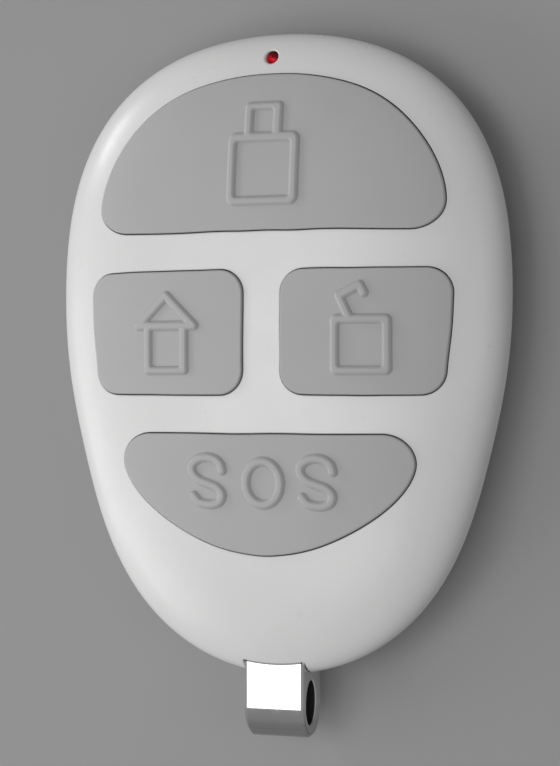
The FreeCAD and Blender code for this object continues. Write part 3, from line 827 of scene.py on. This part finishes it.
# ------------------------------------------------------------ keys
def key_piece(name):
    line = LINES[name]
    sdf, box = MARKS[name]

    def ztop(x, y):
        return dome_z(x, y) + PROUD + mark_height(sdf(x, y))

    def zplain(x, y):
        return dome_z(x, y) + PROUD

    S = Soup()
    prev, top = None, None
    for t in ROWS:
        xy = offset(line, -(GAP + R_KEY * (1 - math.sin(t))))
        k = S.loop(xy, zplain(xy[:, 0], xy[:, 1]) - R_KEY * (1 - math.cos(t)))
        if prev is None:
            top = k
        else:
            S.strip(k, prev)
        prev = k
    low = S.loop(offset(line, -GAP), 0.0)
    S.strip(low, prev)
    extra = [resample(offset(line, -(GAP + R_KEY + 0.28)), int(length(line) / 0.42))]
    for level in (0.13, S_OUT, 0.025, 0.012, -0.01, -0.04, -0.08, -0.13, -0.19, -0.26, S_IN):
        for run in iso_lines(sdf, box, level):
            n = max(16, int(length(run) / (0.15 if -0.2 < level < 0.1 else 0.2)))
            run = on_level(resample(run, n), sdf, level)
            extra.append(run)
    sheet(S, ztop, top, [], extra, 0.55, 0.16)
    sheet(S, lambda x, y: np.zeros_like(x), low, [], [], 3.0, 0.8, up=False)
    o = fix_winding(new_object("key_top_" + name, S.mesh("key_top_" + name)))
    # lip, hollow and stem
    H2 = FH - FRONT_T
    combine(o, dome_solid("d", H2, FP, FQ, WALL, dz=-0.92, down=6.0), "DIFFERENCE")
    lip = prism("l", offset(line, 0.45, 3), -3.0, 9.0)
    combine(lip, dome_solid("d", H2, FP, FQ, WALL, dz=-0.12, down=6.0), "INTERSECT")
    combine(lip, dome_solid("d", H2, FP, FQ, WALL, dz=-0.92, down=9.0), "DIFFERENCE")
    combine(o, lip, "UNION")
    core = prism("l", offset(line, -1.175, 5), -4.0, 9.0)
    combine(core, dome_solid("d", FH, FP, FQ, 0.0, dz=-1.2, down=9.0), "INTERSECT")
    combine(o, core, "DIFFERENCE")
    sx, sy = STEM[name]
    stem = prism("s", circle(sx, sy, 1.6, 40), 3.50, 9.0)
    combine(stem, dome_solid("d", FH, FP, FQ, 0.0, dz=-0.5, down=0.5), "INTERSECT")
    combine(o, stem, "UNION")

    def surface(P):
        x, y, z = P.T
        near = (z > 2.0) & inside(x, y, offset(line, -(GAP + R_KEY - 0.01)))
        on = np.zeros(len(P), bool)
        N = np.zeros((len(P), 3))
        idx = np.nonzero(near)[0]
        on[idx] = np.abs(z[idx] - ztop(x[idx], y[idx])) < 2e-3
        idx = np.nonzero(on)[0]
        N[idx] = height_normal(ztop, x[idx], y[idx])
        return on, N

    set_normals(o, surface)
    return o


# ------------------------------------------------------------ key-ring lug
def lug_piece():
    XC, W, T, END, SH = -0.105, 5.71, 5.00, -34.893, -27.00
    h, a_end = T / 2, 2.83          # the free end is slightly longer than a half round
    cy = END + a_end
    out = []
    # contour in the (y, z) plane, anticlockwise seen from +X
    rc = 0.40
    for cy0, cz, a0, a1 in ((SH - rc, h - rc, 0, 90),):
        out += [(cy0 + rc * math.cos(math.radians(a)), cz + rc * math.sin(math.radians(a))) for a in np.linspace(a0, a1, 5)]
    out += [(SH - rc + (cy - SH + rc) * k / 14.0, h) for k in range(1, 14)]
    out += [(cy + a_end * math.cos(math.radians(a)), h * math.sin(math.radians(a))) for a in np.linspace(90, 270, 61)]
    out += [(cy + (SH - rc - cy) * k / 14.0, -h) for k in range(1, 14)]
    out += [(SH - rc + rc * math.cos(math.radians(a)), -h + rc + rc * math.sin(math.radians(a))) for a in np.linspace(270, 360, 5)]
    out += [(SH, -h + rc + (T - 2 * rc) * k / 14.0) for k in range(1, 14)]
    out = np.array(out)
    t = 2 * np.pi * np.arange(88) / 88
    u, w = EYE[2] * np.cos(t), EYE[3] * np.sin(t)
    ce, se = math.cos(EYE_LEAN), math.sin(EYE_LEAN)
    eye = np.stack([EYE[0] + u * ce - w * se, EYE[1] + u * se + w * ce], 1)
    S = Soup()
    RE, RI = 0.30, 0.10

    def put(yz, x):
        return S.add(np.column_stack([np.full(len(yz), XC + x), yz]))

    ends = {}
    for side in (1, -1):
        rows, erows = [], []
        for t in (0.0, 1.0):
            rows.append(put(offset(out, -RE * (1 - t)), side * (W / 2 - RE * t)))
            erows.append(put(offset(eye, RI * (1 - t)), side * (W / 2 - RI * t)))
        for a, b in zip(rows, rows[1:]):
            S.strip(a, b, flip=side > 0)
        for a, b in zip(erows, erows[1:]):
            S.strip(a, b, flip=side < 0)
        ends[side] = (rows[-1], erows[-1])
        # flat side face
        V = np.vstack(S.v)
        A, B = V[rows[0]][:, 1:], V[erows[0]][:, 1:]
        P = np.vstack([A, B])
        ids = np.concatenate([rows[0], erows[0]])
        G = hexgrid(A[:, 0].min(), A[:, 0].max(), A[:, 1].min(), A[:, 1].max(), 0.35)
        G = G[inside(G[:, 0], G[:, 1], A) & ~inside(G[:, 0], G[:, 1], B)]
        G = G[(dist_to(G[:, 0], G[:, 1], A) > 0.15) & (dist_to(G[:, 0], G[:, 1], B) > 0.15)]
        ids = np.concatenate([ids, put(G, side * W / 2)])
        P = np.vstack([P, G])
        T3, more = triangles(P, [np.arange(len(A)), np.arange(len(A), len(A) + len(B))],
                             lambda cx, cy: inside(cx, cy, A) & ~inside(cx, cy, B))
        if len(more):
            ids = np.concatenate([ids, put(more, side * W / 2)])
        T3 = ids[T3]
        S.fan(T3 if side > 0 else T3[:, ::-1])
    # long bands across the width
    last_o, last_e = ends[-1]
    xs = np.linspace(-1, 1, 9)[1:-1]
    seq = [(put(out, x * (W / 2 - RE)), put(eye, x * (W / 2 - RI))) for x in xs] + [ends[1]]
    for a, b in seq:
        S.strip(last_o, a, flip=True)
        S.strip(last_e, b)
        last_o, last_e = a, b
    o = fix_winding(new_object("key_ring_lug", S.mesh("lug")))
    combine(o, block("neck", -2.2, 2.2, -27.3, -25.0, -1.3, 1.3), "UNION")
    combine(o, block("head", -4.2, 4.2, -25.7, -24.2, -1.4, 1.4), "UNION")

    def surface(P):
        x, y, z = P.T
        dy = np.minimum(y - cy, 0)
        on = (y < -27.3) & (np.abs(np.hypot(dy / a_end, z / h) - 1) < 1e-3) & (np.abs(x - XC) <= W / 2 - RE + 1e-3)
        N = np.stack([np.zeros_like(x), dy / a_end ** 2, z / h ** 2], 1)
        N /= np.maximum(np.linalg.norm(N, axis=1), 1e-9)[:, None]
        return on, N

    set_normals(o, surface)
    return o


# ------------------------------------------------------------ lamp, screws
def lathe(S, cx, cy, prof, n, flip=False):
    """prof from bottom centre to top centre as (r, z)."""
    loops = [S.loop(circle(cx, cy, r, n), z) for r, z in prof if r > 1e-9]
    for a, b in zip(loops, loops[1:]):
        S.strip(a, b, flip)
    first, last = prof[0], prof[-1]
    if first[0] <= 1e-9:
        c = S.add([[cx, cy, first[1]]])[0]
        a = loops[0]
        S.f += [[a[(i + 1) % n], a[i], c] if not flip else [a[i], a[(i + 1) % n], c] for i in range(n)]
    if last[0] <= 1e-9:
        c = S.add([[cx, cy, last[1]]])[0]
        a = loops[-1]
        S.f += [[a[i], a[(i + 1) % n], c] if not flip else [a[(i + 1) % n], a[i], c] for i in range(n)]


def lamp_piece():
    S = Soup()
    r, sh = 0.60, 2.74
    prof = [(0, 1.85), (r - 0.05, 1.85), (r - 0.015, 1.865), (r, 1.90), (r, 2.20), (r, 2.46), (r, sh)]
    for a in (12, 24, 36, 48, 60, 72, 82):
        t = math.radians(a)
        prof.append((r * math.cos(t), sh + 0.40 * math.sin(t)))
    prof.append((0, 2.46 + 0.40))
    lathe(S, 0.0, LAMP_Y, prof, 48)
    o = fix_winding(new_object("lamp_lens", S.mesh("lamp_lens")))
    set_normals(o, None, 40)
    return o


def screw_piece():
    whole = None
    for x, y, z in SCREWS:
        S = Soup()
        r, hh = 1.5, 0.8
        prof = [(0, z - hh + 0.0), (0.5, z - hh), (1.05, z - hh + 0.03)]
        for a in (-75, -60, -45, -30, -15, 0):
            t = math.radians(a)
            prof.append((r - 0.35 + 0.35 * math.cos(t), z - hh + 0.36 + 0.35 * math.sin(t)))
        prof += [(r, z - 0.04), (r - 0.04, z), (0.85, z), (0.80, z + 0.10)]
        zz = z + 0.30
        while zz < z + 3.0:
            prof += [(0.80, zz), (0.85, zz + 0.09), (0.80, zz + 0.18), (0.66, zz + 0.30)]
            zz += 0.42
        prof += [(0.60, z + 3.2), (0.30, z + 3.62), (0, z + 3.70)]
        lathe(S, x, y, prof, 56)
        o = fix_winding(new_object("scr", S.mesh("scr")))
        ang = 20 * (x > 1) + 55 * (x < -1)
        for a in (0, 90):
            t = math.radians(a + ang)
            c, s = math.cos(t), math.sin(t)
            K = Soup()
            lo = [(-0.88, -0.17), (0.88, -0.17), (0.88, 0.17), (-0.88, 0.17)]
            hi = [(-0.50, -0.12), (0.50, -0.12), (0.50, 0.12), (-0.50, 0.12)]
            A = K.loop(np.array([(x + u * c - v * s, y + u * s + v * c) for u, v in lo]), z - hh - 0.1)
            B = K.loop(np.array([(x + u * c - v * s, y + u * s + v * c) for u, v in hi]), z - hh + 0.50)
            K.strip(A, B)
            K.f += [list(B), list(A)[::-1]]
            combine(o, fix_winding(new_object("x", K.mesh("x"))), "DIFFERENCE")
        if whole is None:
            whole = o
        else:
            combine(whole, o, "UNION")
    whole.name = "screws"
    set_normals(whole, None, 35)
    return whole


# ------------------------------------------------------------ materials
def material(name, **sockets):
    m = bpy.data.materials.new(name)
    m.use_nodes = True
    nt = m.node_tree
    bsdf = nt.nodes["Principled BSDF"]
    for k, v in sockets.items():
        bsdf.inputs[k.replace("_", " ")].default_value = v
    return m, nt, bsdf


def coords(nt, scale=1.0):
    tc = nt.nodes.new("ShaderNodeTexCoord")
    return tc.outputs["Object"]


def noise(nt, vec, scale, detail=3.0, rough=0.5):
    n = nt.nodes.new("ShaderNodeTexNoise")
    n.inputs["Scale"].default_value = scale
    n.inputs["Detail"].default_value = detail
    n.inputs["Roughness"].default_value = rough
    nt.links.new(vec, n.inputs["Vector"])
    return n.outputs["Fac"]


def ramp(nt, fac, stops):
    r = nt.nodes.new("ShaderNodeValToRGB")
    e = r.color_ramp.elements
    e[0].position, e[0].color = stops[0][0], (*stops[0][1], 1)
    e[1].position, e[1].color = stops[-1][0], (*stops[-1][1], 1)
    for p, c in stops[1:-1]:
        x = e.new(p)
        x.color = (*c, 1)
    nt.links.new(fac, r.inputs["Fac"])
    return r.outputs["Color"]


def remap(nt, fac, a, b, lo=0.3, hi=0.7):
    n = nt.nodes.new("ShaderNodeMapRange")
    n.inputs["From Min"].default_value, n.inputs["From Max"].default_value = lo, hi
    n.inputs["To Min"].default_value, n.inputs["To Max"].default_value = a, b
    nt.links.new(fac, n.inputs["Value"])
    return n.outputs["Result"]


def bump(nt, bsdf, height, distance, strength=1.0):
    b = nt.nodes.new("ShaderNodeBump")
    b.inputs["Distance"].default_value = distance
    b.inputs["Strength"].default_value = strength
    nt.links.new(height, b.inputs["Height"])
    nt.links.new(b.outputs["Normal"], bsdf.inputs["Normal"])


def g(v):
    return (v, v, v)


def mat_white():
    m, nt, b = material("white_case_plastic", IOR=1.50)
    v = coords(nt)
    broad = noise(nt, v, 90.0, 4.0, 0.55)
    fine = noise(nt, v, 9000.0, 2.0, 0.5)
    nt.links.new(ramp(nt, broad, [(0.30, (0.745, 0.745, 0.742)), (0.70, (0.775, 0.775, 0.772))]), b.inputs["Base Color"])
    nt.links.new(remap(nt, noise(nt, v, 420.0, 5.0, 0.6), 0.27, 0.35), b.inputs["Roughness"])
    bump(nt, b, fine, 0.0000016, 0.6)
    return m


def mat_grey():
    m, nt, b = material("grey_key_plastic", IOR=1.46)
    v = coords(nt)
    broad = noise(nt, v, 120.0, 4.0, 0.55)
    fine = noise(nt, v, 7000.0, 3.0, 0.6)
    nt.links.new(ramp(nt, broad, [(0.30, (0.438, 0.438, 0.441)), (0.70, (0.456, 0.456, 0.459))]), b.inputs["Base Color"])
    nt.links.new(remap(nt, noise(nt, v, 500.0, 5.0, 0.6), 0.50, 0.58), b.inputs["Roughness"])
    bump(nt, b, fine, 0.0000040, 0.8)
    return m


def mat_chrome():
    m, nt, b = material("plated_metal", Metallic=1.0)
    v = coords(nt)
    # inside the eye the base colour is painted dark, as painted shade for the deep bore, and the roughness is raised:
    # squared elliptical radius about the eye's axis
    d = nt.nodes.new("ShaderNodeVectorMath")
    d.operation = "SUBTRACT"
    nt.links.new(v, d.inputs[0])
    d.inputs[1].default_value = (0.0, (EYE[0] + SHIFT[1]) * 0.001, (EYE[1] + SHIFT[2]) * 0.001)
    r = nt.nodes.new("ShaderNodeVectorRotate")
    r.rotation_type = "X_AXIS"
    r.inputs["Angle"].default_value = -EYE_LEAN
    nt.links.new(d.outputs["Vector"], r.inputs["Vector"])
    k = nt.nodes.new("ShaderNodeVectorMath")
    k.operation = "MULTIPLY"
    nt.links.new(r.outputs["Vector"], k.inputs[0])
    k.inputs[1].default_value = (0.0, 1000 / EYE[2], 1000 / EYE[3])
    q = nt.nodes.new("ShaderNodeVectorMath")
    q.operation = "LENGTH"
    nt.links.new(k.outputs["Vector"], q.inputs[0])
    bright = remap(nt, q.outputs["Value"], 0.0, 1.0, 1.008, 1.014)
    broad = noise(nt, v, 260.0, 5.0, 0.6)
    c = nt.nodes.new("ShaderNodeMix")
    c.data_type = "RGBA"
    nt.links.new(bright, c.inputs[0])
    # painted shade: the dark base colour used inside the eye's bore
    nt.links.new(ramp(nt, broad, [(0.3, (0.055, 0.055, 0.058)), (0.7, (0.09, 0.09, 0.092))]), c.inputs[6])
    # the base colour is painted darker toward the free end: painted shade standing in for the dim reflection of the
    # surroundings there
    y = nt.nodes.new("ShaderNodeSeparateXYZ")
    nt.links.new(v, y.inputs["Vector"])
    end = ramp(nt, remap(nt, y.outputs["Y"], 0.0, 1.0, -0.0321, -0.0290),
               [(0.0, g(0.44)), (0.32, g(0.575)), (0.468, g(0.63)), (0.613, g(0.77)), (0.86, g(0.84)), (1.0, g(1.0))])

    def calc(op, a, p, q=None):
        n = nt.nodes.new("ShaderNodeMath")
        n.operation = op
        for i, x in enumerate((a, p, q)):
            if x is None:
                continue
            if isinstance(x, (int, float)):
                n.inputs[i].default_value = x
            else:
                nt.links.new(x, n.inputs[i])
        return n.outputs["Value"]

    def shade(below, fac):
        n = nt.nodes.new("ShaderNodeMix")
        n.data_type, n.blend_type = "RGBA", "MULTIPLY"
        n.inputs[0].default_value = 1.0
        nt.links.new(below, n.inputs[6])
        nt.links.new(fac, n.inputs[7])
        return n.outputs[2]

    # painted shade: a dark line painted where the lug comes out under the curved edge of the case, the shade under that
    # edge
    x2 = calc("MULTIPLY", y.outputs["X"], y.outputs["X"])
    s = calc("MULTIPLY_ADD", x2, -30.7, y.outputs["Y"])
    top = calc("GREATER_THAN", y.outputs["Z"], (SHIFT[2] + 2.40) * 0.001)
    seam_shade = ramp(nt, calc("MULTIPLY", remap(nt, s, 0.0, 1.0, -0.02533, -0.02523), top), [(0.0, g(1.0)), (1.0, g(0.085))])
    # painted reflection: the base colour darkened along the rims of the side faces and round the free end, standing in
    # for dark reflections at those edges
    side = remap(nt, calc("ABSOLUTE", calc("ADD", y.outputs["X"], 0.000105), 0.0), 0.0, 1.0, 0.002735, 0.002800)
    dy = calc("MINIMUM", calc("MULTIPLY_ADD", y.outputs["Y"], 1000 / 2.83, (34.893 - 2.83 - SHIFT[1]) / 2.83), 0.0)
    dz = calc("MULTIPLY_ADD", y.outputs["Z"], 1000 / 2.5, -SHIFT[2] / 2.5)
    e2 = calc("ADD", calc("MULTIPLY", dy, dy), calc("MULTIPLY", dz, dz))
    rim = remap(nt, e2, 0.0, 1.0, 0.74, 0.84)
    free = calc("MAXIMUM", remap(nt, y.outputs["Y"], 0.0, 1.0, -0.0292, -0.0298), calc("GREATER_THAN", y.outputs["X"], 0.0))
    edge_shade = ramp(nt, calc("MULTIPLY", calc("MULTIPLY", side, rim), free), [(0.0, g(1.0)), (1.0, g(0.55))])
    plate = ramp(nt, broad, [(0.3, (0.86, 0.86, 0.87)), (0.7, (0.90, 0.90, 0.90))])
    nt.links.new(shade(shade(shade(plate, end), seam_shade), edge_shade), c.inputs[7])
    nt.links.new(c.outputs[2], b.inputs["Base Color"])
    fine = noise(nt, v, 900.0, 6.0, 0.65)
    w = nt.nodes.new("ShaderNodeMix")
    nt.links.new(bright, w.inputs["Factor"])
    nt.links.new(remap(nt, fine, 0.45, 0.60), w.inputs["A"])
    nt.links.new(remap(nt, fine, 0.06, 0.13), w.inputs["B"])
    nt.links.new(w.outputs["Result"], b.inputs["Roughness"])
    bump(nt, b, noise(nt, v, 350.0, 3.0, 0.5), 0.0000025, 0.5)
    return m


def mat_red():
    m, nt, b = material("red_lens", IOR=1.49)
    b.inputs["Transmission Weight"].default_value = 0.10
    b.inputs["Coat Weight"].default_value = 0.03
    b.inputs["Coat Roughness"].default_value = 0.10
    b.inputs["Specular IOR Level"].default_value = 0.20
    v = coords(nt)
    # painted light and shade: the base colour is painted bright red toward the keys, where light falls into the hole,
    # and dark toward the far right of the hole, in the shade of its rim
    d = nt.nodes.new("ShaderNodeVectorMath")
    d.operation = "SUBTRACT"
    nt.links.new(v, d.inputs[0])
    d.inputs[1].default_value = (0.0, (LAMP_Y + SHIFT[1]) * 0.001, 0.0)
    k = nt.nodes.new("ShaderNodeVectorMath")
    k.operation = "DOT_PRODUCT"
    nt.links.new(d.outputs["Vector"], k.inputs[0])
    k.inputs[1].default_value = (400.0, 800.0, 0.0)
    w = nt.nodes.new("ShaderNodeMath")
    w.operation = "MULTIPLY_ADD"
    nt.links.new(noise(nt, v, 1400.0, 3.0, 0.5), w.inputs[0])
    w.inputs[1].default_value = 0.25
    nt.links.new(k.outputs["Value"], w.inputs[2])
    f = remap(nt, w.outputs["Value"], 0.0, 1.0, -0.35, 0.65)
    nt.links.new(ramp(nt, f, [(0.0, (0.95, 0.0, 0.016)), (0.40, (0.78, 0.0, 0.012)), (0.58, (0.20, 0.0, 0.004)),
                              (1.0, (0.05, 0.0, 0.002))]), b.inputs["Base Color"])
    nt.links.new(remap(nt, noise(nt, v, 2500.0, 3.0, 0.5), 0.22, 0.32), b.inputs["Roughness"])
    return m


def mat_simple(name, c0, c1, r0, r1, scale=300.0, metallic=0.0, bump_d=0.0):
    m, nt, b = material(name, Metallic=metallic)
    v = coords(nt)
    nt.links.new(ramp(nt, noise(nt, v, scale, 4.0, 0.55), [(0.3, c0), (0.7, c1)]), b.inputs["Base Color"])
    nt.links.new(remap(nt, noise(nt, v, scale * 3.1, 5.0, 0.6), r0, r1), b.inputs["Roughness"])
    if bump_d:
        bump(nt, b, noise(nt, v, scale * 12, 3.0, 0.5), bump_d, 0.6)
    return m


def mat_board():
    m, nt, b = material("board_green", IOR=1.5)
    v = coords(nt)
    vor = nt.nodes.new("ShaderNodeTexVoronoi")
    vor.feature = "DISTANCE_TO_EDGE"
    vor.inputs["Scale"].default_value = 420.0
    nt.links.new(v, vor.inputs["Vector"])
    nt.links.new(ramp(nt, vor.outputs["Distance"], [(0.04, (0.008, 0.115, 0.032)), (0.09, (0.006, 0.075, 0.022))]), b.inputs["Base Color"])
    nt.links.new(remap(nt, noise(nt, v, 900.0, 4.0, 0.5), 0.25, 0.40), b.inputs["Roughness"])
    bump(nt, b, vor.outputs["Distance"], 0.00002, 0.3)
    return m


WHITE, GREY, CHROME, RED = mat_white(), mat_grey(), mat_chrome(), mat_red()
BLACK = mat_simple("black_plastic", (0.014, 0.014, 0.015), (0.026, 0.026, 0.027), 0.38, 0.52, 600.0, 0.0, 0.000002)
STEEL = mat_simple("bright_steel", (0.55, 0.55, 0.56), (0.66, 0.66, 0.66), 0.20, 0.34, 500.0, 1.0, 0.000001)
DARK = mat_simple("dark_screw_steel", (0.10, 0.10, 0.105), (0.17, 0.17, 0.175), 0.28, 0.42, 700.0, 1.0, 0.000002)
TAN = mat_simple("tan_ceramic", (0.36, 0.25, 0.15), (0.45, 0.33, 0.21), 0.35, 0.5, 900.0, 0.0, 0.000002)
COPPER = mat_simple("copper", (0.70, 0.31, 0.17), (0.82, 0.42, 0.26), 0.22, 0.36, 600.0, 1.0, 0.0)
BOARD = mat_board()
BY_SLOT = {"white_case": WHITE, "grey_key": GREY, "plated_lug": CHROME, "red_lamp": RED, "black_plastic": BLACK,
           "bright_steel": STEEL, "dark_screw": DARK, "board": BOARD, "tan_ceramic": TAN, "copper": COPPER}
slot_of = {}
for row in frame["record"].get("materials", []):
    for n in row.get("nodes", []) or []:
        slot_of[n] = row["slot"]

# ------------------------------------------------------------ build the pieces
front, rear = front_piece(), rear_piece()
keys = {n: key_piece(n) for n in LINES}
lug, lamp, screws = lug_piece(), lamp_piece(), screw_piece()


def place(obj, mat, body, slot, *nodes):
    obj.data.materials.clear()
    obj.data.materials.append(mat)
    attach(obj, body)
    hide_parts(*nodes)


place(front, WHITE, "case", "white_case", "front_shell")
place(rear, WHITE, "case", "white_case", "rear_shell")
for n, o in keys.items():
    place(o, GREY, n + "_key", "grey_key", "key_" + n)
place(lug, CHROME, "case", "plated_lug", "ring_lug")
place(lamp, RED, "case", "red_lamp", "light_pipe")
place(screws, DARK, "case", "dark_screw", "case_screws")

GUESS = {"board": BOARD, "led_chip": TAN, "cover": STEEL, "terminals": STEEL, "domes": STEEL, "leads": STEEL,
         "caps": STEEL, "capacitors": TAN, "saw": STEEL, "coil": COPPER, "cell": STEEL, "battery": STEEL,
         "body": BLACK, "plunger": BLACK, "chip": BLACK, "transistor": BLACK, "resistors": BLACK}
for n, o in NODES.items():
    if o.hide_render:
        continue
    mat = BY_SLOT.get(slot_of.get(n))
    if mat is None:
        mat = next((m for k, m in GUESS.items() if k in n), BLACK)
    o.data.materials.clear()
    o.data.materials.append(mat)

# ------------------------------------------------------------ floor
fm, nt, b = material("pale_floor")
v = coords(nt)
nt.links.new(ramp(nt, noise(nt, v, 30.0, 4.0, 0.5), [(0.3, g(0.347)), (0.7, g(0.357))]), b.inputs["Base Color"])
nt.links.new(remap(nt, noise(nt, v, 60.0, 4.0, 0.5), 0.82, 0.90), b.inputs["Roughness"])
b.inputs["Specular IOR Level"].default_value = 0.15
me = bpy.data.meshes.new("floor")
L = 3.0
k = 13
c = np.linspace(-L, L, k)
pts = [(x, y, 0.0) for y in c for x in c]
me.from_pydata(pts, [], [(j * k + i, j * k + i + 1, (j + 1) * k + i + 1, (j + 1) * k + i)
                         for j in range(k - 1) for i in range(k - 1)])
me.materials.append(fm)
floor = new_object("floor", me)

# ------------------------------------------------------------ light
world = bpy.data.worlds.new("studio")
bpy.context.scene.world = world
world.use_nodes = True
bg = world.node_tree.nodes["Background"]
bg.inputs["Color"].default_value = (1, 1, 1, 1)
bg.inputs["Strength"].default_value = 0.262
AIM = Vector((0.0, 0.0, 0.006))


def softbox(name, direction, dist, w, h, power, spin=0.0, spread=180.0):
    d = Vector(direction).normalized()
    li = bpy.data.lights.new(name, "AREA")
    li.shape, li.size, li.size_y, li.energy = "RECTANGLE", w, h, power
    li.spread = math.radians(spread)
    o = bpy.data.objects.new(name, li)
    COLL.objects.link(o)
    o.location = AIM + d * dist
    q = d.to_track_quat("Z", "Y")
    o.rotation_mode = "QUATERNION"
    o.rotation_quaternion = q @ Matrix.Rotation(math.radians(spin), 3, "Z").to_quaternion()
    return o


for name, direction, w, h, power in (
        ("overhead_left", (-0.309, 0.02, 0.951), 0.271, 0.26, 0.76),
        ("overhead_front", (0.0, -0.309, 0.951), 0.26, 0.26, 0.47),
        ("left_low_back", (-0.963, 0.170, 0.208), 0.26, 0.26, 0.04),
        ("left_low_front", (-0.963, -0.170, 0.208), 0.26, 0.26, 0.49),
        ("left_mid", (-0.866, 0.0, 0.50), 0.26, 0.26, 0.165),
        ("left_mid_front", (-0.75, -0.433, 0.50), 0.26, 0.26, 0.56),
        ("right_fill", (0.788, 0.0, 0.616), 0.26, 0.26, 0.18),
        ("rim_glint", (-0.831, 0.48, 0.28), 0.15, 0.08, 0.60)):
    softbox(name, direction, 0.60, w, h, power)

# ------------------------------------------------------------ camera
cam = bpy.data.cameras.new("camera")
cam.sensor_width = 36.0
cam.lens = 99.84
cam.clip_start, cam.clip_end = 0.01, 20.0
camera = bpy.data.objects.new("camera", cam)
COLL.objects.link(camera)
X, Y, Z = (0.94551858, 0.0, -0.32556815), (0.00071746, 0.99999757, 0.00208365), (0.32556736, -0.00220371, 0.94551628)
camera.matrix_world = Matrix(((X[0], Y[0], Z[0], 0.062944), (X[1], Y[1], Z[1], -0.000189),
                              (X[2], Y[2], Z[2], 0.188578), (0, 0, 0, 1)))
bpy.context.scene.camera = camera
bpy.context.scene.view_settings.view_transform = "Standard"
